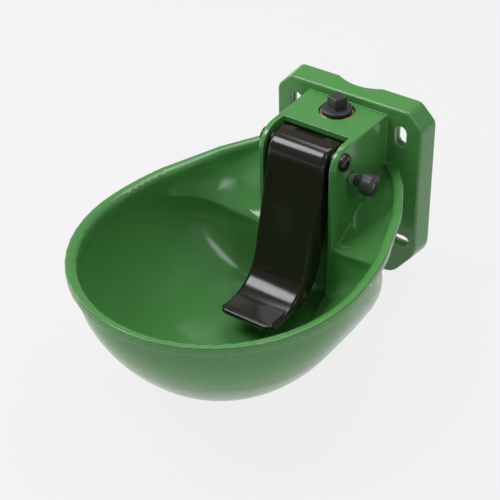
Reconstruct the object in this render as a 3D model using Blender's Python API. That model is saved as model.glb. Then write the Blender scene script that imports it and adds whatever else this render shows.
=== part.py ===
"""Livestock drinking bowl with a push tongue, a brass tee valve and a side flow regulator.

Frame: X to the right of someone facing the wall, +Y into the wall, +Z up.
The origin is the centre of the mounting plate's back face, on the wall plane Y = 0.
All lengths are in metres and all angles in degrees.
"""
import math

import bmesh
import bpy
from mathutils import Matrix, Vector

for thing in list(bpy.data.objects):
    bpy.data.objects.remove(thing, do_unlink=True)

# Clearances and overruns shared by every piece
seat_gap = 0.0003
cut_overrun = 0.004
join_depth = 0.002
weld_distance = 0.000002

# Mounting plate: a shallow tray, open towards the wall
plate_width = 0.155
plate_height = 0.181
plate_depth = 0.0218
plate_wall = 0.0045
plate_top_chamfer = 0.0150
plate_low_chamfer_width = 0.0241
plate_low_chamfer_height = 0.0308
plate_corner_round = 0.004
plate_low_round = 0.009
plate_draft = 0.0015
plate_edge_round = 0.0025
plate_rib_thickness = 0.003
plate_rib_x = 0.033
post_radius = 0.0445
post_depth = 0.0062
slot_width = 0.0118
slot_length = 0.0212
upper_slot_x = 0.0552
upper_slot_z = 0.063
lower_slot_x = 0.0590
lower_slot_z = -0.047

# Bowl: an egg-shaped plan, a flat-crowned rim, a ramp at the back and an upright rear wall
bowl_wall = 0.005
bowl_bottom_z = -0.090
widest_y = -0.209
rim_half_width = 0.1262
rim_front_reach = 0.135
rim_back_reach = 0.2155
rim_front_z = 0.0385
rim_back_z = 0.0340
rim_skirt = 0.0080
rim_edge_round = 0.0016
rim_step = 0.0048
rim_crown_width = 0.0100
rim_crown_fall = 0.0034
rim_roll = 0.0030
rear_wall_y = -0.0995
rear_wall_round = 0.022
ramp_top_y = -0.020
ramp_top_z = 0.033
ramp_angle = 31.4
rim_front_power = 2.05
rim_back_power = 1.74
rear_power = 3.0
ramp_power = 2.2
shelf_power = 4.5
side_fall_power = 1.8
front_fall_power = 1.67
side_flat_share = 0.12
front_flat_share = 0.19

# Valve housing and cheeks, one moulding with the plate and the bowl
housing_top_z = 0.081
housing_half_at_front = 0.0395
housing_draft = 0.0017
housing_half_at_plate = housing_half_at_front + housing_draft
cheek_wall = 0.0053
cheek_gap_half = housing_half_at_front - cheek_wall
cheek_front_y = -0.1053
cheek_radius = 0.0205
cheek_edge_round = 0.0028
housing_edge_round = 0.0008
housing_roof = 0.005
web_front_y = -0.0729
web_thickness = 0.005
chamber_front_y = -0.0600
chamber_wall = 0.0045
chamber_skin = 0.0010
well_back_top_y = -0.0645
well_back_low_y = -0.0800
well_back_low_z = -0.055
well_round = 0.026
well_bottom_z = -0.088
well_front_y = -0.112
well_edge_round = 0.008
foot_top_z = -0.066
foot_tip_y = -0.127
foot_tip_z = -0.0765
foot_tip_thickness = 0.0010
foot_floor_drop = 0.0015
foot_floor_back_y = -0.105

# Tongue and its pivot
pivot_y = -0.0915
pivot_z = 0.0685
tongue_swing = 12.0
tongue_half_width = 0.0293
tongue_skirt_flare = 0.0012
tongue_lip_half_width = 0.0282
tongue_wall = 0.0032
tongue_edge_round = 0.0045
tongue_back_round = 0.0020
tongue_free_edge_round = 0.0003
tongue_top_z = 0.0785
tongue_back_y = -0.0800
tongue_wrap_y = -0.0912
tongue_wrap_radius = 0.0162
tongue_slope = 13.5
tongue_step_z = 0.0585
tongue_step = 0.0004
tongue_bend_z = -0.0314
tongue_bend_radius = 0.034
tongue_lip_y = -0.1860
tongue_lip_thickness = 0.0060
tongue_lip_rise = 1.5
tongue_lip_corner = 0.0085
tongue_skirt = 0.0170
tongue_hub_radius = 0.0090
tongue_hub_rim = 0.0015
tongue_hub_length = 0.0060
tongue_pad_half_width = 0.0060
tongue_pad_height = 0.0120
tongue_notch_half_width = 0.0148
tongue_notch_length = 0.0045
tongue_notch_depth = 0.0008

sleeve_radius = 0.0060
running_gap = 0.0003
bolt_radius = 0.0040
bolt_hole_gap = 0.0002
bolt_head_radius = 0.0080
bolt_head_height = 0.0042
bolt_head_crown = 0.0016
bolt_socket_flats = 0.0050
bolt_socket_depth = 0.0024
barrel_head_radius = 0.0080
barrel_head_height = 0.0028
barrel_head_crown = 0.0009
barrel_radius = 0.0052
barrel_socket_depth = 0.0016

# Brass tee valve
valve_y = -0.0395
valve_z = 0.0460
tee_radius = 0.0157
tee_bore_radius = 0.0092
tee_top_z = 0.0799
tee_bottom_z = 0.0120
tee_thread_radius = 0.0103
tee_thread_depth = 0.0150
tee_chamfer = 0.0008
tee_boss_radius = 0.0140
tee_boss_bore_radius = 0.0103
roof_hole_radius = 0.0165

# Nozzle screwed into the tee through the chamber's front wall
nozzle_thread_radius = 0.0100
nozzle_thread_gap = 0.0003
nozzle_thread_length = 0.0100
nozzle_bore_radius = 0.0050
nozzle_flange_flats = 0.0270
nozzle_flange_thickness = 0.0050
nozzle_gasket_radius = 0.0135
nozzle_gasket_thickness = 0.0018
nozzle_barrel_radius = 0.0110
nozzle_barrel_bore_radius = 0.0080
nozzle_front_y = -0.0890
outlet_radius = 0.0032
seat_radius = 0.0078
seat_length = 0.0050
seat_bore_radius = 0.0034

gland_flats = 0.0190
gland_head_thickness = 0.0040
gland_stub_radius = 0.0077
gland_stub_length = 0.0050
gland_bore_gap = 0.0003
gland_ring_radius = 0.0094
gland_ring_section = 0.0012

plunger_radius = 0.0020
plunger_tip_y = -0.1030
plunger_head_radius = 0.0064
plunger_head_thickness = 0.0020
plunger_tip_round = 0.0008
seal_radius = 0.0062
seal_thickness = 0.0024
clip_radius = 0.0048
clip_thickness = 0.0010
spring_radius = 0.0040
spring_wire_radius = 0.0005
spring_turns = 4
spring_sides = 6

# Flow regulator on the right cheek
regulator_y = -0.0795
regulator_pitch = 0.0010
regulator_turns = 4
insert_radius = 0.0058
insert_recess = 0.0008
insert_gap = 0.0003
spindle_radius = 0.0030
spindle_tip_radius = 0.0022
spindle_tip_length = 0.0060
lock_nut_flats = 0.0100
lock_nut_height = 0.0050
knob_neck_radius = 0.0046
knob_neck_end_radius = 0.0054
knob_neck_length = 0.0080
knob_radius = 0.0100
knob_length = 0.0106
knob_edge_round = 0.0010
knob_recess_radius = 0.0034
knob_recess_depth = 0.0010
knob_bore_gap = 0.0002
side_port_radius = 0.0078
side_port_x = 0.0215
side_ring_section = 0.0011

# Blanking plug in the upper inlet
plug_flange_radius = 0.01425
plug_flange_thickness = 0.0032
plug_square = 0.0130
plug_square_height = 0.0112
plug_square_turn = 68.0
plug_square_round = 0.0010
plug_stub_radius = 0.0099
plug_stub_length = 0.0120
plug_ring_radius = 0.0136
plug_ring_thickness = 0.0008

# How finely round shapes are divided
bowl_sides = 56
round_sides = 28
small_sides = 20
ring_sides = 20
post_sides = 72
arc_steps = 6


# Materials

def material(name, colour, roughness, metallic=0.0):
    """A plain Principled material in the piece's own colour."""
    made = bpy.data.materials.new(name)
    made.use_nodes = True
    shader = made.node_tree.nodes["Principled BSDF"]
    shader.inputs["Base Color"].default_value = (*colour, 1.0)
    shader.inputs["Roughness"].default_value = roughness
    shader.inputs["Metallic"].default_value = metallic
    made.diffuse_color = (*colour, 1.0)
    return made


green_plastic = material("green_plastic", (0.055, 0.27, 0.06), 0.28)
black_plastic = material("black_plastic", (0.012, 0.012, 0.010), 0.25)
dark_plastic = material("dark_plastic", (0.035, 0.034, 0.036), 0.45)
brass = material("brass", (0.62, 0.42, 0.18), 0.30, 1.0)
stainless = material("stainless", (0.60, 0.60, 0.58), 0.28, 1.0)
zinc = material("zinc_plate", (0.62, 0.64, 0.60), 0.32, 1.0)
black_steel = material("black_steel", (0.05, 0.045, 0.042), 0.35, 1.0)
rubber = material("rubber", (0.02, 0.02, 0.02), 0.75)
white_plastic = material("white_plastic", (0.75, 0.75, 0.70), 0.45)


# Mesh helpers

def make_object(name, mesh_data, finish, location=(0.0, 0.0, 0.0), smooth_angle=32.0):
    """Turn a bmesh into a named object with one material, faces outwards."""
    bmesh.ops.recalc_face_normals(mesh_data, faces=mesh_data.faces)
    mesh = bpy.data.meshes.new(name)
    mesh_data.to_mesh(mesh)
    mesh_data.free()
    mesh.shade_smooth()
    mesh.set_sharp_from_angle(angle=math.radians(smooth_angle))
    made = bpy.data.objects.new(name, mesh)
    made.location = location
    if finish is not None:
        mesh.materials.append(finish)
    bpy.context.scene.collection.objects.link(made)
    return made


def loft(rings):
    """Closed solid through rings of equal count, its two ends capped."""
    solid = bmesh.new()
    made = [[solid.verts.new(point) for point in ring] for ring in rings]
    count = len(rings[0])
    for near, far in zip(made[:-1], made[1:]):
        for index in range(count):
            after = (index + 1) % count
            solid.faces.new((near[index], near[after], far[after], far[index]))
    solid.faces.new(made[0])
    solid.faces.new(list(reversed(made[-1])))
    return solid


def turned(profile, sides):
    """Solid of revolution about the local Z axis from (radius, height) points.

    A profile that starts and ends on the axis is a plain turned solid.
    One that stays off the axis closes on itself and makes a ring.
    """
    on_axis = profile[0][0] == 0.0 and profile[-1][0] == 0.0
    solid = bmesh.new()
    inner = profile[1:-1] if on_axis else profile
    columns = []
    for side in range(sides):
        turn = 2.0 * math.pi * side / sides
        columns.append([
            solid.verts.new((radius * math.cos(turn), radius * math.sin(turn), height))
            for radius, height in inner
        ])
    rows = len(inner)
    last = rows - 1 if on_axis else rows
    for side in range(sides):
        here, there = columns[side], columns[(side + 1) % sides]
        for row in range(last):
            after = (row + 1) % rows
            solid.faces.new((here[row], there[row], there[after], here[after]))
    if on_axis:
        for end, row in ((profile[0], 0), (profile[-1], rows - 1)):
            pole = solid.verts.new((0.0, 0.0, end[1]))
            for side in range(sides):
                solid.faces.new((pole, columns[side][row], columns[(side + 1) % sides][row]))
    return solid


def disc(radius, low, high, sides=round_sides, edge=0.0):
    """Turned cylinder between two heights, with a chamfered edge where asked."""
    points = [(0.0, low), (radius - edge, low)]
    if edge > 0.0:
        points += [(radius, low + edge), (radius, high - edge)]
        points += [(radius - edge, high), (0.0, high)]
    else:
        points += [(radius, high), (0.0, high)]
        points[1] = (radius, low)
    return turned(points, sides)


def polygon_prism(corners, low, high):
    """Upright prism over a plan outline of (x, y) corners."""
    return loft([[(x, y, height) for x, y in corners] for height in (low, high)])


def hexagon(flats, turn=0.0):
    """Corners of a hexagon with the given width across flats."""
    corner_radius = flats / 2.0 / math.cos(math.radians(30.0))
    return [
        (corner_radius * math.cos(math.radians(turn + 60.0 * k)),
         corner_radius * math.sin(math.radians(turn + 60.0 * k)))
        for k in range(6)
    ]


def box(low, high):
    """Axis-aligned block between two corners."""
    corners = [(low[0], low[1]), (high[0], low[1]), (high[0], high[1]), (low[0], high[1])]
    return polygon_prism(corners, low[2], high[2])


ALONG_X = Matrix.Rotation(math.radians(90.0), 4, "Y")
ALONG_MINUS_Y = Matrix.Rotation(math.radians(90.0), 4, "X")


def placed(solid, turn, location):
    """Turn a solid and move it to its place."""
    bmesh.ops.transform(solid, matrix=Matrix.Translation(location) @ turn, verts=solid.verts)
    return solid


def weld(mesh):
    """Join points that fall together, drop slivers without area and close pinholes."""
    work = bmesh.new()
    work.from_mesh(mesh)
    bmesh.ops.remove_doubles(work, verts=work.verts, dist=weld_distance)
    bmesh.ops.dissolve_degenerate(work, edges=work.edges, dist=weld_distance)
    pinholes = [edge for edge in work.edges if edge.is_boundary]
    bmesh.ops.holes_fill(work, edges=pinholes, sides=4)
    work.to_mesh(mesh)
    work.free()


def combine(target, tools, operation):
    """Apply exact Booleans to an object and drop the tool solids."""
    for index, tool in enumerate(tools):
        cutter = make_object(f"tool_{index}", tool, None)
        change = target.modifiers.new("change", "BOOLEAN")
        change.operation = operation
        change.solver = "EXACT"
        change.object = cutter
        graph = bpy.context.evaluated_depsgraph_get()
        result = bpy.data.meshes.new_from_object(target.evaluated_get(graph))
        target.modifiers.clear()
        finish = target.data.materials[0] if target.data.materials else None
        weld(result)
        target.data = result
        target.data.materials.clear()
        if finish is not None:
            target.data.materials.append(finish)
        bpy.data.objects.remove(cutter, do_unlink=True)
    return target


def shade(target, smooth_angle=32.0):
    """Smooth shading that keeps edges over the given angle."""
    target.data.shade_smooth()
    target.data.set_sharp_from_angle(angle=math.radians(smooth_angle))
    return target


def set_origin(target, origin):
    """Put an object's origin on a joint axis and leave its shape where it is."""
    target.data.transform(Matrix.Translation(-Vector(origin)))
    target.location = origin


def arc_points(centre, radius, start, end, steps=arc_steps):
    """Points on an arc, both ends included, angles from +first axis towards the second."""
    return [
        (centre[0] + radius * math.cos(math.radians(start + (end - start) * k / steps)),
         centre[1] + radius * math.sin(math.radians(start + (end - start) * k / steps)))
        for k in range(steps + 1)
    ]


# Bowl shell

def blend(low, high, share):
    """Straight mix of two values."""
    return low + (high - low) * share


def fall(share, power):
    """Superellipse fall from 1 at the top to 0 at the bottom."""
    return max(0.0, 1.0 - share ** power) ** (1.0 / power)


quarter_sides = bowl_sides // 4
crease_column = 8
crease_low_share = 0.36
crease_high_share = 0.93


def behind(share, curve):
    """How far a (reach, power) curve lies behind the widest line at a share of the half width."""
    reach, power = curve
    return reach * max(0.0, 1.0 - share ** power) ** (1.0 / power)


def crease_share(ramp, rear):
    """Share of the half width where the ramp's curve comes out in front of the rear wall's."""
    low, high = crease_low_share, crease_high_share
    for _ in range(30):
        middle = (low + high) / 2.0
        if behind(middle, ramp) > behind(middle, rear):
            low = middle
        else:
            high = middle
    return low


def quarter_shares(crease, power):
    """Shares of the half width from the side to the middle; one column follows the crease."""
    last = math.acos(crease ** (power / 2.0))
    shares = []
    for column in range(quarter_sides):
        if column <= crease_column:
            turn = last * (column + 0.5) / (crease_column + 0.5)
            shares.append(math.cos(turn) ** (2.0 / power))
        else:
            along = (column - crease_column) / (quarter_sides - crease_column - 0.5)
            shares.append(crease * (1.0 - along))
    return shares


def egg(half_width, front_y, ramp, rear, crease):
    """Plan outline as (x, y): a superellipse half in front, the ramp and rear wall behind."""
    back = [(share, max(behind(share, ramp), behind(share, rear)))
            for share in quarter_shares(crease, rear[1])]
    front = []
    for column in range(quarter_sides):
        turn = math.pi / 2.0 * (column + 0.5) / quarter_sides
        share = math.cos(turn) ** (2.0 / rim_front_power)
        front.append((share, -behind(share, (widest_y - front_y, rim_front_power))))
    right_back = [(half_width * share, widest_y + reach) for share, reach in back]
    right_front = [(half_width * share, widest_y + reach) for share, reach in front]
    left_back = [(-x, y) for x, y in reversed(right_back)]
    left_front = [(-x, y) for x, y in right_front]
    return right_back + left_back + left_front + list(reversed(right_front))


def rim_height(y):
    """The rim plane falls slightly from the front of the bowl to the plate."""
    return blend(rim_back_z, rim_front_z, y / (widest_y - rim_front_reach))


def rim_ring(inset, drop):
    """Rim outline moved inwards by inset and down by drop."""
    back = (rim_back_reach - inset, rim_back_power)
    outline = egg(rim_half_width - inset, widest_y - rim_front_reach + inset, back, back,
                  crease_high_share)
    return [(x, y, rim_height(y) - drop) for x, y in outline]


wall_top_z = rim_back_z - rim_skirt
ramp_fall = math.tan(math.radians(ramp_angle))
ramp_skin = bowl_wall / math.sin(math.radians(ramp_angle))
ramp_end_z = ramp_top_z - (ramp_top_y - rear_wall_y) * ramp_fall


def crease_height(skin):
    """Height at which the ramp comes down to the rear wall."""
    drop = ramp_top_y - (rear_wall_y - skin) + (ramp_skin if skin == 0.0 else 0.0)
    return ramp_top_z - drop * ramp_fall


def wall_ring(height, skin):
    """Outline of the bowl wall at a height; skin is 0 outside and bowl_wall inside."""
    bottom = bowl_bottom_z + skin
    share = min(1.0, max(0.0, (wall_top_z - height) / (wall_top_z - bottom)))
    side = fall(share, side_fall_power)
    front = fall(share, front_fall_power)
    full_half = rim_half_width - rim_step - skin
    full_front = rim_front_reach - rim_step - skin
    half_width = full_half * blend(side_flat_share, 1.0, side)
    front_y = widest_y - full_front * blend(front_flat_share, 1.0, front)
    below_round = max(0.0, (bottom + rear_wall_round) - height)
    set_in = rear_wall_round - math.sqrt(max(0.0, rear_wall_round ** 2 - below_round ** 2))
    rear_reach = rear_wall_y - skin - set_in - widest_y
    crease_z = crease_height(skin)
    if height <= crease_z:
        depth = min(1.0, (crease_z - height) / (crease_z - bottom))
        rear = (rear_reach, blend(shelf_power, rear_power, depth))
        outline = egg(half_width, front_y, rear, rear, crease_low_share)
        return [(x, y, height) for x, y in outline]
    climb = min(1.0, (height - crease_z) / (ramp_top_z - crease_z))
    power = blend(ramp_power, rim_back_power, climb)
    cheek_share = housing_half_at_plate / half_width
    ramp_y = ramp_top_y - (ramp_top_z - height) / ramp_fall + (ramp_skin if skin == 0.0 else 0.0)
    ramp = ((ramp_y - widest_y) / behind(cheek_share, (1.0, power)), power)
    rear = (rear_reach, blend(shelf_power, rim_back_power, climb))
    outline = egg(half_width, front_y, ramp, rear, crease_share(ramp, rear))
    return [(x, y, height) for x, y in outline]


# Depths of the wall rings, as shares of the wall's height
depth_shares = (0.07, 0.14, 0.20, 0.26, 0.32, 0.47, 0.58, 0.69, 0.79, 0.88, 0.96, 1.0)


def wall_heights(skin):
    """Heights of the wall rings from the top down, one of them at the foot of the ramp."""
    heights = [blend(wall_top_z, bowl_bottom_z + skin, share) for share in depth_shares]
    return sorted(heights + [crease_height(skin)], reverse=True)


def bowl_shell():
    """The bowl as one cup: up the outside, over the rim and down the inside."""
    rings = []
    for height in reversed(wall_heights(0.0)):
        rings.append(wall_ring(height, 0.0))
    rings.append(rim_ring(rim_step, rim_skirt))
    rings.append(rim_ring(0.0, rim_skirt - rim_edge_round / 2.0))
    rings.append(rim_ring(0.0, rim_edge_round))
    rings.append(rim_ring(rim_edge_round / 3.0, rim_edge_round / 3.0))
    rings.append(rim_ring(rim_edge_round, 0.0))
    rings.append(rim_ring(rim_crown_width / 2.0, rim_crown_fall / 4.0))
    rings.append(rim_ring(rim_crown_width - rim_roll / 2.0, rim_crown_fall / 1.4))
    rings.append(rim_ring(rim_crown_width, rim_crown_fall + rim_roll))
    for height in wall_heights(bowl_wall):
        rings.append(wall_ring(height, bowl_wall))
    return loft(rings)


# Plate

def plate_outline(inset):
    """Plate outline with chamfered and rounded corners, its edges moved inwards by inset."""
    half_w = plate_width / 2.0
    half_h = plate_height / 2.0
    top_w, top_z = half_w - plate_top_chamfer, half_h - plate_top_chamfer
    low_w, low_z = half_w - plate_low_chamfer_width, plate_low_chamfer_height - half_h
    corners = [
        (top_w, half_h), (half_w, top_z), (half_w, low_z), (low_w, -half_h),
        (-low_w, -half_h), (-half_w, low_z), (-half_w, top_z), (-top_w, half_h),
    ]
    points = []
    for index, corner in enumerate(corners):
        here = Vector(corner)
        into = (here - Vector(corners[index - 1])).normalized()
        out_of = (Vector(corners[(index + 1) % len(corners)]) - here).normalized()
        inwards = Vector((into.y, -into.x)) + Vector((out_of.y, -out_of.x))
        moved = here + inwards * (2.0 * inset / inwards.length_squared)
        size = plate_low_round if corner[1] < 0.0 else plate_corner_round
        start = moved - into * size
        end = moved + out_of * size
        for step in range(5):
            t = step / 4.0
            points.append(start.lerp(moved, t).lerp(moved.lerp(end, t), t))
    return points


def plate_ring(inset, y):
    """Plate outline placed upright at a distance from the wall."""
    return [(point.x, y, point.y) for point in plate_outline(inset)]


def plate_body():
    """Outer form of the plate: drafted sides and a rounded front edge."""
    rings = [plate_ring(0.0, 0.0)]
    for step in range(4):
        turn = math.radians(30.0 * step)
        rings.append(plate_ring(plate_draft + plate_edge_round * (1.0 - math.cos(turn)),
                                -plate_depth + plate_edge_round * (1.0 - math.sin(turn))))
    return loft(rings)


def slot_prism(x, z, upright, front, back):
    """Round-ended slot seen from the front, as a prism along Y."""
    radius = slot_width / 2.0
    half = (slot_length - slot_width) / 2.0
    ends = arc_points((0.0, half), radius, 0.0, 180.0, 8)
    ends += arc_points((0.0, -half), radius, 180.0, 360.0, 8)
    if not upright:
        ends = [(-v, u) for u, v in ends]
    return loft([[(x + u, y, z + v) for u, v in ends] for y in (front, back)])


slots = [
    (side * x, z, upright)
    for x, z, upright in ((upper_slot_x, upper_slot_z, True), (lower_slot_x, lower_slot_z, False))
    for side in (1.0, -1.0)
]


def plate_hollow():
    """What is taken out of the plate from behind."""
    front = -plate_depth + plate_wall
    rings = [plate_ring(plate_wall, cut_overrun), plate_ring(plate_wall + plate_draft, front)]
    return loft(rings)


def post_groove():
    """Upright round groove across the back face, to seat on a round post."""
    groove = disc(post_radius, -plate_height, plate_height, post_sides)
    return placed(groove, Matrix.Identity(4), (0.0, post_radius - post_depth, 0.0))


# Housing block: side profile in (y, z), carried across X

def slab(profile, half_width, edge_round, steps=3):
    """Solid across X from a side profile, its long edges rounded.

    half_width and edge_round are functions of a profile point (y, z).
    """
    count = len(profile)
    normals = []
    for index in range(count):
        before, after = profile[index - 1], profile[(index + 1) % count]
        tangent = Vector((after[0] - before[0], after[1] - before[1])).normalized()
        normals.append(Vector((tangent.y, -tangent.x)))
    area = sum(profile[k - 1][0] * profile[k][1] - profile[k][0] * profile[k - 1][1]
               for k in range(count))
    inwards = -1.0 if area > 0.0 else 1.0
    rings = []
    for side in (-1.0, 1.0):
        order = range(steps + 1) if side < 0.0 else reversed(range(steps + 1))
        for step in order:
            turn = math.radians(90.0 * step / steps)
            ring = []
            for point, normal in zip(profile, normals):
                radius = edge_round(point)
                shift = normal * inwards * radius * (1.0 - math.sin(turn))
                x = half_width(point) - radius * (1.0 - math.cos(turn))
                ring.append((side * x, point[0] + shift.x, point[1] + shift.y))
            rings.append(ring)
    return loft(rings)


def housing_half(point):
    """Outer half width of the housing, drafted from the plate to its front."""
    share = (point[0] + plate_depth) / (cheek_front_y + plate_depth)
    return blend(housing_half_at_plate, housing_half_at_front, min(1.0, max(0.0, share)))


def housing_round(point):
    """Edge rounding: tight on the roof, full on the cheeks' front, large under the well."""
    if point[0] <= foot_tip_y:
        return foot_tip_thickness / 4.0
    if point[1] < foot_top_z and point[0] > foot_tip_y:
        return well_edge_round if point[0] > well_front_y else cheek_edge_round
    share = (point[0] - web_front_y) / (cheek_front_y - web_front_y)
    return blend(housing_edge_round, cheek_edge_round, min(1.0, max(0.0, 1.6 * share)))


def well_profile(skin):
    """Side profile of the well behind the tongue, from its back top down to the bowl floor."""
    floor = well_bottom_z + skin
    top_y = well_back_top_y + bowl_wall - skin
    low_y = well_back_low_y + bowl_wall - skin
    centre = (low_y - well_round, floor + well_round)
    points = [(top_y, ramp_end_z + well_round), (low_y, well_back_low_z)]
    points += arc_points(centre, well_round, 0.0, -90.0)[1:]
    return points


def housing_block():
    """Solid block of the valve housing, its cheeks and the well under them."""
    cheek_centre = (cheek_front_y + cheek_radius, housing_top_z - cheek_radius)
    plate_side = -plate_depth + join_depth
    profile = [(plate_side, housing_top_z)]
    profile += arc_points(cheek_centre, cheek_radius, 90.0, 180.0, 8)
    profile.append((cheek_front_y, foot_top_z))
    profile.append((foot_tip_y, foot_tip_z))
    profile.append((foot_tip_y, foot_tip_z - foot_tip_thickness))
    profile.append((well_front_y, well_bottom_z))
    profile += list(reversed(well_profile(0.0)))
    profile.append((plate_side, ramp_top_z - ramp_skin * ramp_fall))
    return slab(profile, housing_half, housing_round)


def across(points, half_width):
    """Prism across X from a (y, z) outline."""
    return loft([[(side * half_width, y, z) for y, z in points] for side in (-1.0, 1.0)])


def tongue_channel():
    """Space between the cheeks for the tongue, from under the web to the bowl floor."""
    open_y = foot_tip_y - cut_overrun
    roof_z = housing_top_z - web_thickness
    profile = [(web_front_y, housing_top_z + cut_overrun), (open_y, housing_top_z + cut_overrun)]
    profile.append((open_y, foot_tip_z - foot_tip_thickness - foot_floor_drop))
    profile.append((foot_floor_back_y, well_bottom_z + bowl_wall))
    profile += list(reversed(well_profile(bowl_wall)))
    profile += [(well_back_top_y, roof_z), (web_front_y, roof_z)]
    return across(profile, cheek_gap_half)


def valve_chamber():
    """Chamber round the tee, open below."""
    low = ramp_end_z - cut_overrun
    back = -plate_depth - chamber_skin
    profile = [
        (back, housing_top_z - housing_roof),
        (chamber_front_y, housing_top_z - housing_roof),
        (chamber_front_y, low),
        (back, low),
    ]
    return across(profile, cheek_gap_half)


def build_bowl_body():
    """Bowl, plate and valve housing: one green moulding."""
    body = make_object("bowl_body", bowl_shell(), green_plastic)
    overreach = box((-rim_half_width, -plate_depth + join_depth, -plate_height),
                    (rim_half_width, widest_y + rim_back_reach + post_radius, plate_height))
    combine(body, [overreach], "DIFFERENCE")
    combine(body, [plate_body(), housing_block()], "UNION")
    combine(body, [tongue_channel(), valve_chamber(), plate_hollow()], "DIFFERENCE")

    rib_front = -plate_depth + plate_wall - join_depth
    ribs = []
    for side in (1.0, -1.0):
        x = side * plate_rib_x
        reach = plate_height / 2.0 - plate_wall / 2.0
        ribs.append(box((x - plate_rib_thickness / 2.0, rib_front, -reach),
                        (x + plate_rib_thickness / 2.0, -seat_gap, reach)))
    combine(body, ribs, "UNION")
    slot_back = -plate_depth + plate_wall + cut_overrun
    cuts = [
        slot_prism(x, z, upright, -plate_depth - cut_overrun, slot_back)
        for x, z, upright in slots
    ]
    cuts.append(post_groove())
    roof = disc(roof_hole_radius, housing_top_z - housing_roof - cut_overrun,
                housing_top_z + cut_overrun)
    cuts.append(placed(roof, Matrix.Identity(4), (0.0, valve_y, 0.0)))
    wall_hole = disc(nozzle_thread_radius + 2.0 * nozzle_thread_gap, -chamber_wall - cut_overrun,
                     chamber_wall + cut_overrun)
    cuts.append(placed(wall_hole, ALONG_MINUS_Y, (0.0, chamber_front_y, valve_z)))
    reach = housing_half_at_plate + cut_overrun
    bolt_hole = disc(bolt_radius + bolt_hole_gap, -reach, reach, small_sides)
    cuts.append(placed(bolt_hole, ALONG_X, (0.0, pivot_y, pivot_z)))
    barrel_hole = disc(barrel_radius + seat_gap, -reach, cut_overrun - cheek_gap_half)
    cuts.append(placed(barrel_hole, ALONG_X, (0.0, pivot_y, pivot_z)))
    insert_hole = disc(insert_radius + insert_gap, cheek_gap_half - cut_overrun, reach,
                       small_sides)
    cuts.append(placed(insert_hole, ALONG_X, (0.0, regulator_y, valve_z)))
    combine(body, cuts, "DIFFERENCE")
    return shade(body, 38.0)


# Tongue

tongue_lean = math.tan(math.radians(tongue_slope))
wrap_end = arc_points((tongue_wrap_y, tongue_top_z - tongue_wrap_radius), tongue_wrap_radius,
                      90.0, 180.0 - tongue_slope, 9)[-1]
step_y = wrap_end[0] - (wrap_end[1] - tongue_step_z) * tongue_lean
bend_y = step_y + tongue_step - (tongue_step_z - tongue_step - tongue_bend_z) * tongue_lean
bend_centre = (bend_y - tongue_bend_radius * math.cos(math.radians(tongue_slope)),
               tongue_bend_z + tongue_bend_radius * math.sin(math.radians(tongue_slope)))
lip_turn = -90.0 - tongue_lip_rise
lip_bead = tongue_lip_thickness / 2.0


def tongue_wrap():
    """Side profile over the top of the tongue in (y, z), ending where the flat face begins."""
    points = [(tongue_back_y, tongue_top_z)]
    return points + arc_points((tongue_wrap_y, tongue_top_z - tongue_wrap_radius),
                               tongue_wrap_radius, 90.0, 180.0 - tongue_slope, 9)


def tongue_bend():
    """Side profile of the bend from the flat face to the lip."""
    return arc_points(bend_centre, tongue_bend_radius, -tongue_slope, lip_turn, 10)


bend_end = tongue_bend()[-1]
lip_z = bend_end[1] + (bend_end[0] - tongue_lip_y) * math.tan(math.radians(tongue_lip_rise))

# Where extra points lie round the lip's corners, as shares of the corner's radius
lip_corner_shares = (0.0, 0.25, 0.45)


def tongue_face():
    """Whole drinking face: the wrap, a fine step, the flat face, the bend and the lip's top."""
    points = tongue_wrap()
    points.append((step_y, tongue_step_z))
    points.append((step_y + tongue_step, tongue_step_z - tongue_step))
    points += tongue_bend()
    corner_y = tongue_lip_y + tongue_lip_corner
    points += [(corner_y - share * tongue_lip_corner, lip_z) for share in lip_corner_shares]
    return points


def tongue_lip():
    """Half-round front of the lip, from its top to its underside."""
    return arc_points((tongue_lip_y + lip_bead, lip_z - lip_bead), lip_bead, 90.0, 270.0, 8)


def tongue_rear():
    """Free edge of the side skirts, from under the lip back up to the top."""
    corner_y = tongue_lip_y + tongue_lip_corner
    under = lip_z - tongue_lip_thickness
    points = [(corner_y - share * tongue_lip_corner, under)
              for share in reversed(lip_corner_shares)]
    for step in range(6):
        share = step / 5.0
        turn = math.radians(blend(lip_turn, -tongue_slope, share))
        radius = tongue_bend_radius + blend(tongue_lip_thickness, tongue_skirt, share)
        points.append((bend_centre[0] + radius * math.cos(turn),
                       bend_centre[1] + radius * math.sin(turn)))
    low = points[-1]
    high_z = pivot_z - 2.0 * tongue_hub_radius
    points.append((low[0] + (high_z - low[1]) * tongue_lean, high_z))
    points += arc_points((pivot_y, pivot_z), tongue_hub_radius + tongue_hub_rim, -70.0, 0.0, 3)
    points.append((tongue_back_y, tongue_top_z - tongue_wall))
    return points


def lip_share(point):
    """How far a point lies into the lip's rounded corners: 0 before them, 1 at the very front."""
    into = tongue_lip_y + tongue_lip_corner - point[0]
    return min(1.0, max(0.0, into / tongue_lip_corner))


def tongue_half(point):
    """Half width: skirts that flare out a little, a narrower lip and round lip corners."""
    slope = math.radians(tongue_slope)
    behind = (point[0] - bend_y) * math.cos(slope) - (point[1] - tongue_bend_z) * math.sin(slope)
    if behind > 0.0:
        half = tongue_half_width + tongue_skirt_flare * behind / tongue_skirt
    else:
        share = min(1.0, behind / ((tongue_lip_y - bend_y) * math.cos(slope)))
        half = blend(tongue_half_width, tongue_lip_half_width, share)
    past = lip_share(point)
    return half - tongue_lip_corner * (1.0 - math.sqrt(1.0 - past * past))


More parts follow.
